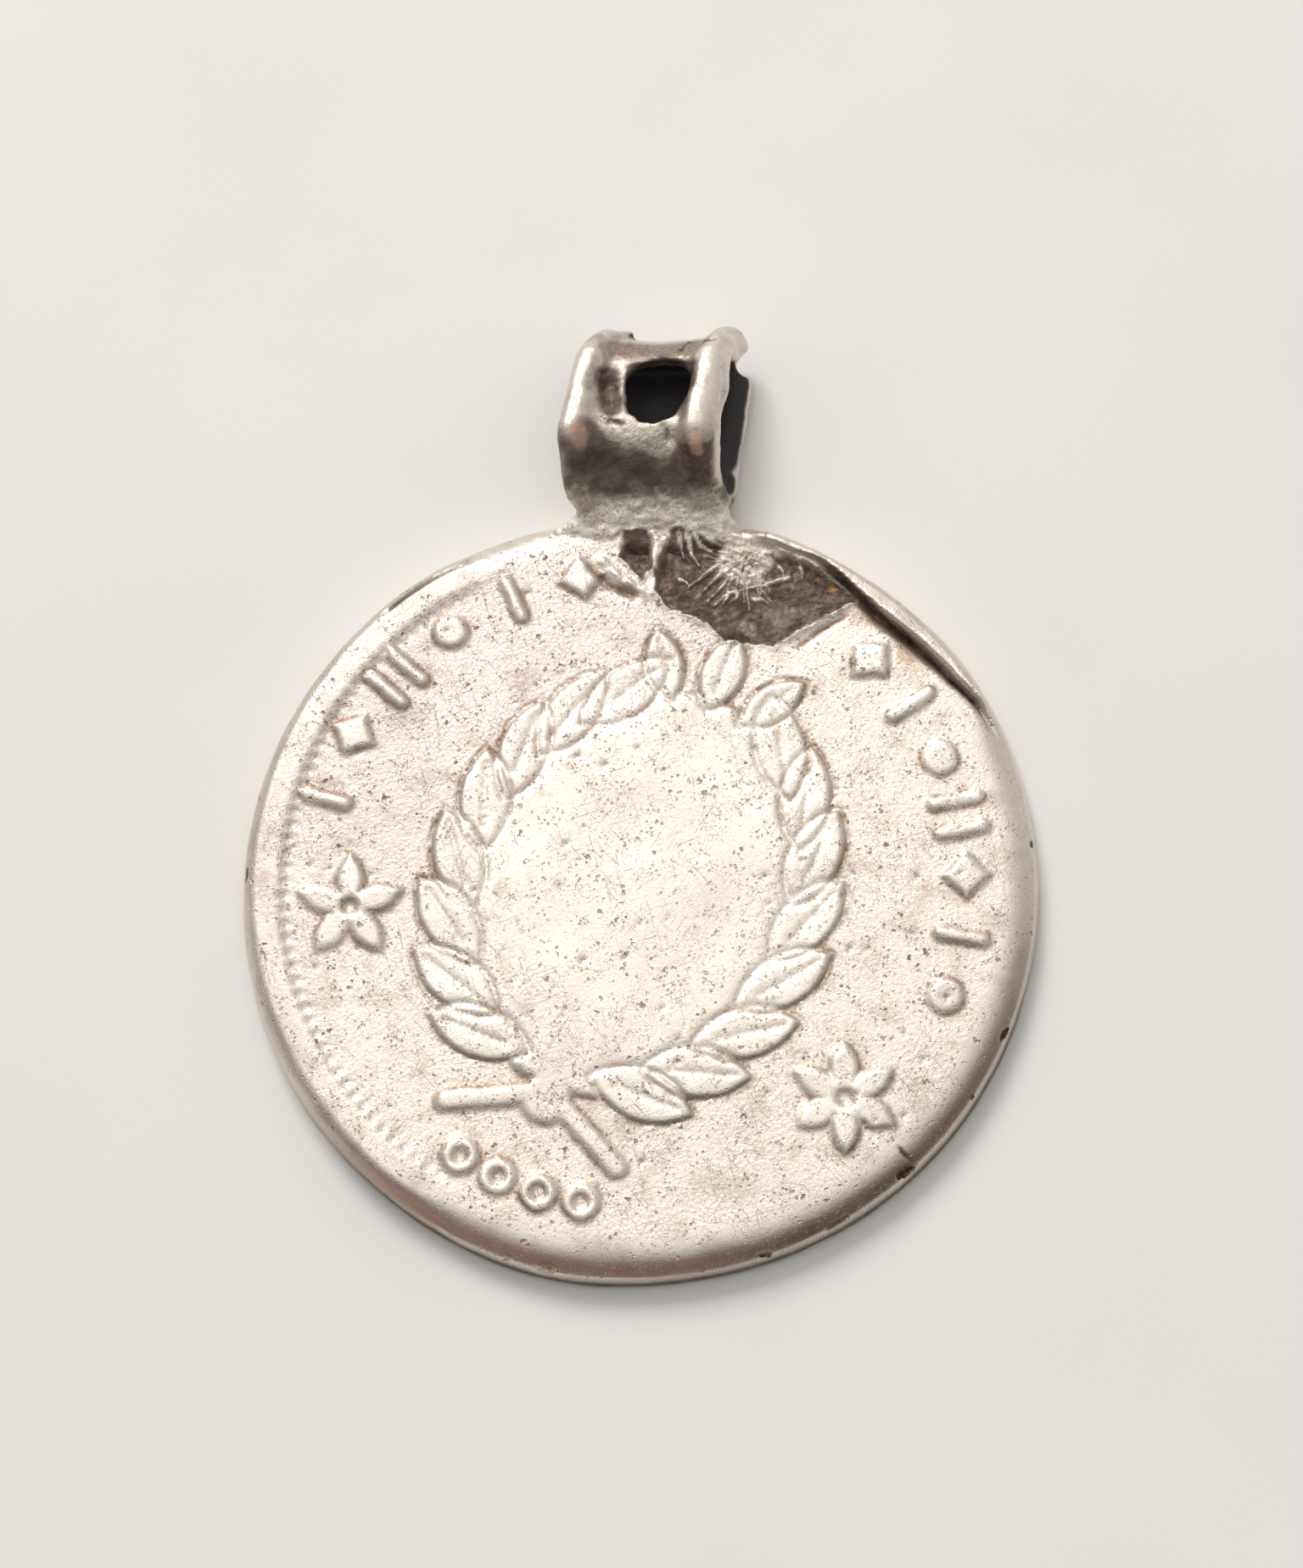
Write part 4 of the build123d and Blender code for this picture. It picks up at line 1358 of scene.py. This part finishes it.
class PENDANT_PG_finish(bpy.types.PropertyGroup):
    silver: colour("Silver", "Bright worn silver", (0.79, 0.735, 0.655))
    silver_dull: colour("Dull silver", "Silver in the duller patches", (0.78, 0.715, 0.635))
    silver_grey: colour("Grain", "Grey grain in the silver", (0.60, 0.52, 0.455))
    field: colour("Field", "Browner silver of the coin's low field", (0.83, 0.74, 0.665))
    # This colour is partly haze, partly painted dull reflection on the upper left of the face.
    haze: colour("Haze", "Grey lilac haze on the field", (0.655, 0.585, 0.545))
    pit: colour("Pits", "Dirt in the pits and hairlines", (0.20, 0.14, 0.10))
    tarnish: colour("Tarnish", "Brown tarnish beside the relief", (0.29, 0.18, 0.115))
    # This colour is partly the strap's dull brown grey, partly painted shade that dims its reflections.
    dull: colour("Dull strap", "Brown grey of the strap's hollows", (0.28, 0.21, 0.165))
    # This colour is painted shade: the dark reflection on the shoulder turned away from the light.
    shoulder: colour("Shoulder", "Brown tone of the worn shoulder", (0.33, 0.22, 0.17))
    solder: colour("Solder", "Pale gritty solder", (0.88, 0.83, 0.72))
    # The scale colours are laid on real scale and also as painted shade and painted dark reflection.
    scale: colour("Scale", "Dark scale of the soldering", (0.060, 0.038, 0.032))
    scale_light: colour("Light scale", "Where the scale is thin", (0.165, 0.115, 0.095))
    # This colour is painted reflection: the reddish spots on the ridges and on the shaded shoulder.
    heat: colour("Heat", "Reddish heat colour", (0.70, 0.42, 0.33))
    rust: colour("Rust", "Orange deposit", (0.40, 0.20, 0.07))
    # The inside colour is painted shade, for the shade inside the loop.
    inner: colour("Inside", "Inside of the bail", (0.040, 0.036, 0.038))
    floor: colour("Surface", "Pale surface that the pendant lies on", (0.81, 0.80, 0.785))


class PENDANT_PG_stage(bpy.types.PropertyGroup):
    azimuth: FloatProperty(
        name="Azimuth", description="Camera's turn round the pendant", default=radians(10.0),
        subtype="ANGLE", unit="ROTATION")
    elevation: FloatProperty(
        name="Elevation", description="Camera's height above the surface", default=radians(72.5),
        subtype="ANGLE", unit="ROTATION")
    distance: length("Distance", "Camera's distance", 0.135)
    aim: FloatVectorProperty(
        name="Aim", description="Point that the camera looks at", default=(0.00046, 0.0036, 0.0008),
        subtype="XYZ", unit="LENGTH", precision=5)
    pixels_per_mm: FloatProperty(
        name="Scale", description="Pixels for each millimetre at the aim, in the picture", default=34.45)


# The picture's height in pixels, the half size of the surface, and the two softboxes over it
PICTURE_HEIGHT = 1849
SHEET_HALF = 0.6
LIGHT_TINT = (1.0, 0.97, 0.94)
SOFTBOXES = table(
    "name at size power",
    ("window", (-0.16, 0.43, 0.42), 0.24, 2.35),
    ("ceiling", (0.03, 0.02, 0.55), 0.5, 0.38),
)


# Operators


class PENDANT_OT_silver(bpy.types.Operator):
    """Build the coin, its bail and its solder as one silver body"""

    bl_idname = "pendant.silver"
    bl_label = "Coin and bail"

    def execute(self, context):
        scene = context.scene
        body = coin_solid(scene.pendant_coin)
        bail = bail_solid(scene.pendant_bail)
        applied(body, "BOOLEAN", operation="UNION", solver="MANIFOLD", object=bail)
        discard(bail)
        bm = bmesh.new()
        bm.from_mesh(body.data)
        soften_joint(bm)
        bmesh.ops.recalc_face_normals(bm, faces=bm.faces[:])
        bm.to_mesh(body.data)
        bm.free()
        paint(body.data, scene.pendant_coin)
        body.data.transform(Matrix.Scale(MM, 4))
        body.data.shade_smooth()
        body.data.set_sharp_from_angle(angle=radians(60))
        body.name = "silver_pendant"
        body.data.materials.clear()
        body.data.materials.append(worn_silver(scene.pendant_finish))
        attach(body, "root")
        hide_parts(NODE)
        return {"FINISHED"}


class PENDANT_OT_stage(bpy.types.Operator):
    """Lay the pale surface and set the light and the camera"""

    bl_idname = "pendant.stage"
    bl_label = "Surface, light and camera"

    def execute(self, context):
        scene = context.scene
        stage = scene.pendant_stage
        bm = bmesh.new()
        bmesh.ops.create_grid(bm, x_segments=2, y_segments=2, size=SHEET_HALF)
        floor = temporary(bm, "surface")
        floor.data.materials.append(paper_floor(scene.pendant_finish))
        studio_light(scene)
        camera_over(scene, stage)
        return {"FINISHED"}


def camera_over(scene, stage):
    """The camera at the picture's angle, with the coin's +Y upright in the picture."""
    level = cos(stage.elevation)
    back = Vector((sin(stage.azimuth) * level, -cos(stage.azimuth) * level, sin(stage.elevation)))
    up = (Vector((0, 1, 0)) - back * back.y).normalized()
    right = up.cross(back)
    data = bpy.data.cameras.new("camera")
    data.sensor_fit = "VERTICAL"
    data.sensor_height = 36.0
    focal_pixels = stage.pixels_per_mm * millimetres(stage.distance)
    data.lens = data.sensor_height * focal_pixels / PICTURE_HEIGHT
    data.clip_start = 0.005
    camera = bpy.data.objects.new("camera", data)
    turn = Matrix((right, up, back)).transposed().to_4x4()
    camera.matrix_world = Matrix.Translation(Vector(stage.aim) + back * stage.distance) @ turn
    scene.collection.objects.link(camera)
    scene.camera = camera


def softbox(scene, name, at, size, power):
    """A square light that faces the coin."""
    data = bpy.data.lights.new(name, "AREA")
    data.shape = "SQUARE"
    data.size = size
    data.energy = power
    data.color = LIGHT_TINT
    light = bpy.data.objects.new(name, data)
    light.location = at
    light.rotation_euler = Vector(at).to_track_quat("Z", "Y").to_euler()
    scene.collection.objects.link(light)


def studio_light(scene):
    """A pale room that is darker on the viewer's side, and a large window at the upper left."""
    world = bpy.data.worlds.new("room")
    world.use_nodes = True
    tree = world.node_tree
    start = Value(tree)
    where = start.make("ShaderNodeTexCoord", output=0)
    parts = tree.nodes.new("ShaderNodeSeparateXYZ")
    tree.links.new(where.socket, parts.inputs[0])
    east, north, height = (Value(tree, parts.outputs[index]) for index in range(3))
    viewer = (north * -0.95 + east * 0.12 - height * 0.9 + 0.1).step(0.0, 0.5)
    sky = height.step(0.15, 0.95)
    window_side = (north * 0.8 - east * 0.35 + 0.15).step(-0.3, 0.9)
    east_side = (east + north * 0.6).step(0.45, 1.0)
    level = 0.23 + sky * 0.26 + window_side * 0.20 + east_side * 0.22
    level = level * (1.0 - viewer * 0.92)
    background = tree.nodes["Background"]
    background.inputs["Color"].default_value = (1.0, 0.965, 0.925, 1.0)
    tree.links.new(level.socket, background.inputs["Strength"])
    scene.world = world
    for row in SOFTBOXES:
        softbox(scene, row["name"], row["at"], row["size"], row["power"])
    scene.view_settings.view_transform = "Standard"


class PENDANT_PT_sidebar(bpy.types.Panel):
    """Lists the pendant's pieces in the sidebar"""

    bl_label = "Worn coin pendant"
    bl_space_type = "VIEW_3D"
    bl_region_type = "UI"
    bl_category = "Pendant"

    def draw(self, context):
        for kind in OPERATORS:
            self.layout.operator(kind.bl_idname)
        for group in GROUPS:
            settings = getattr(context.scene, group)
            for name in settings.bl_rna.properties.keys():
                if name not in ("rna_type", "name"):
                    self.layout.prop(settings, name)


GROUPS = {
    "pendant_coin": PENDANT_PG_coin,
    "pendant_bail": PENDANT_PG_bail,
    "pendant_finish": PENDANT_PG_finish,
    "pendant_stage": PENDANT_PG_stage,
}
OPERATORS = (PENDANT_OT_stage, PENDANT_OT_silver)


def register():
    for kind in (*GROUPS.values(), *OPERATORS, PENDANT_PT_sidebar):
        bpy.utils.register_class(kind)
    for name, kind in GROUPS.items():
        setattr(bpy.types.Scene, name, PointerProperty(type=kind))


def unregister():
    for name in GROUPS:
        delattr(bpy.types.Scene, name)
    for kind in reversed((*GROUPS.values(), *OPERATORS, PENDANT_PT_sidebar)):
        bpy.utils.unregister_class(kind)


def main():
    register()
    bpy.ops.pendant.stage()
    bpy.ops.pendant.silver()


if __name__ == "__main__":
    main()
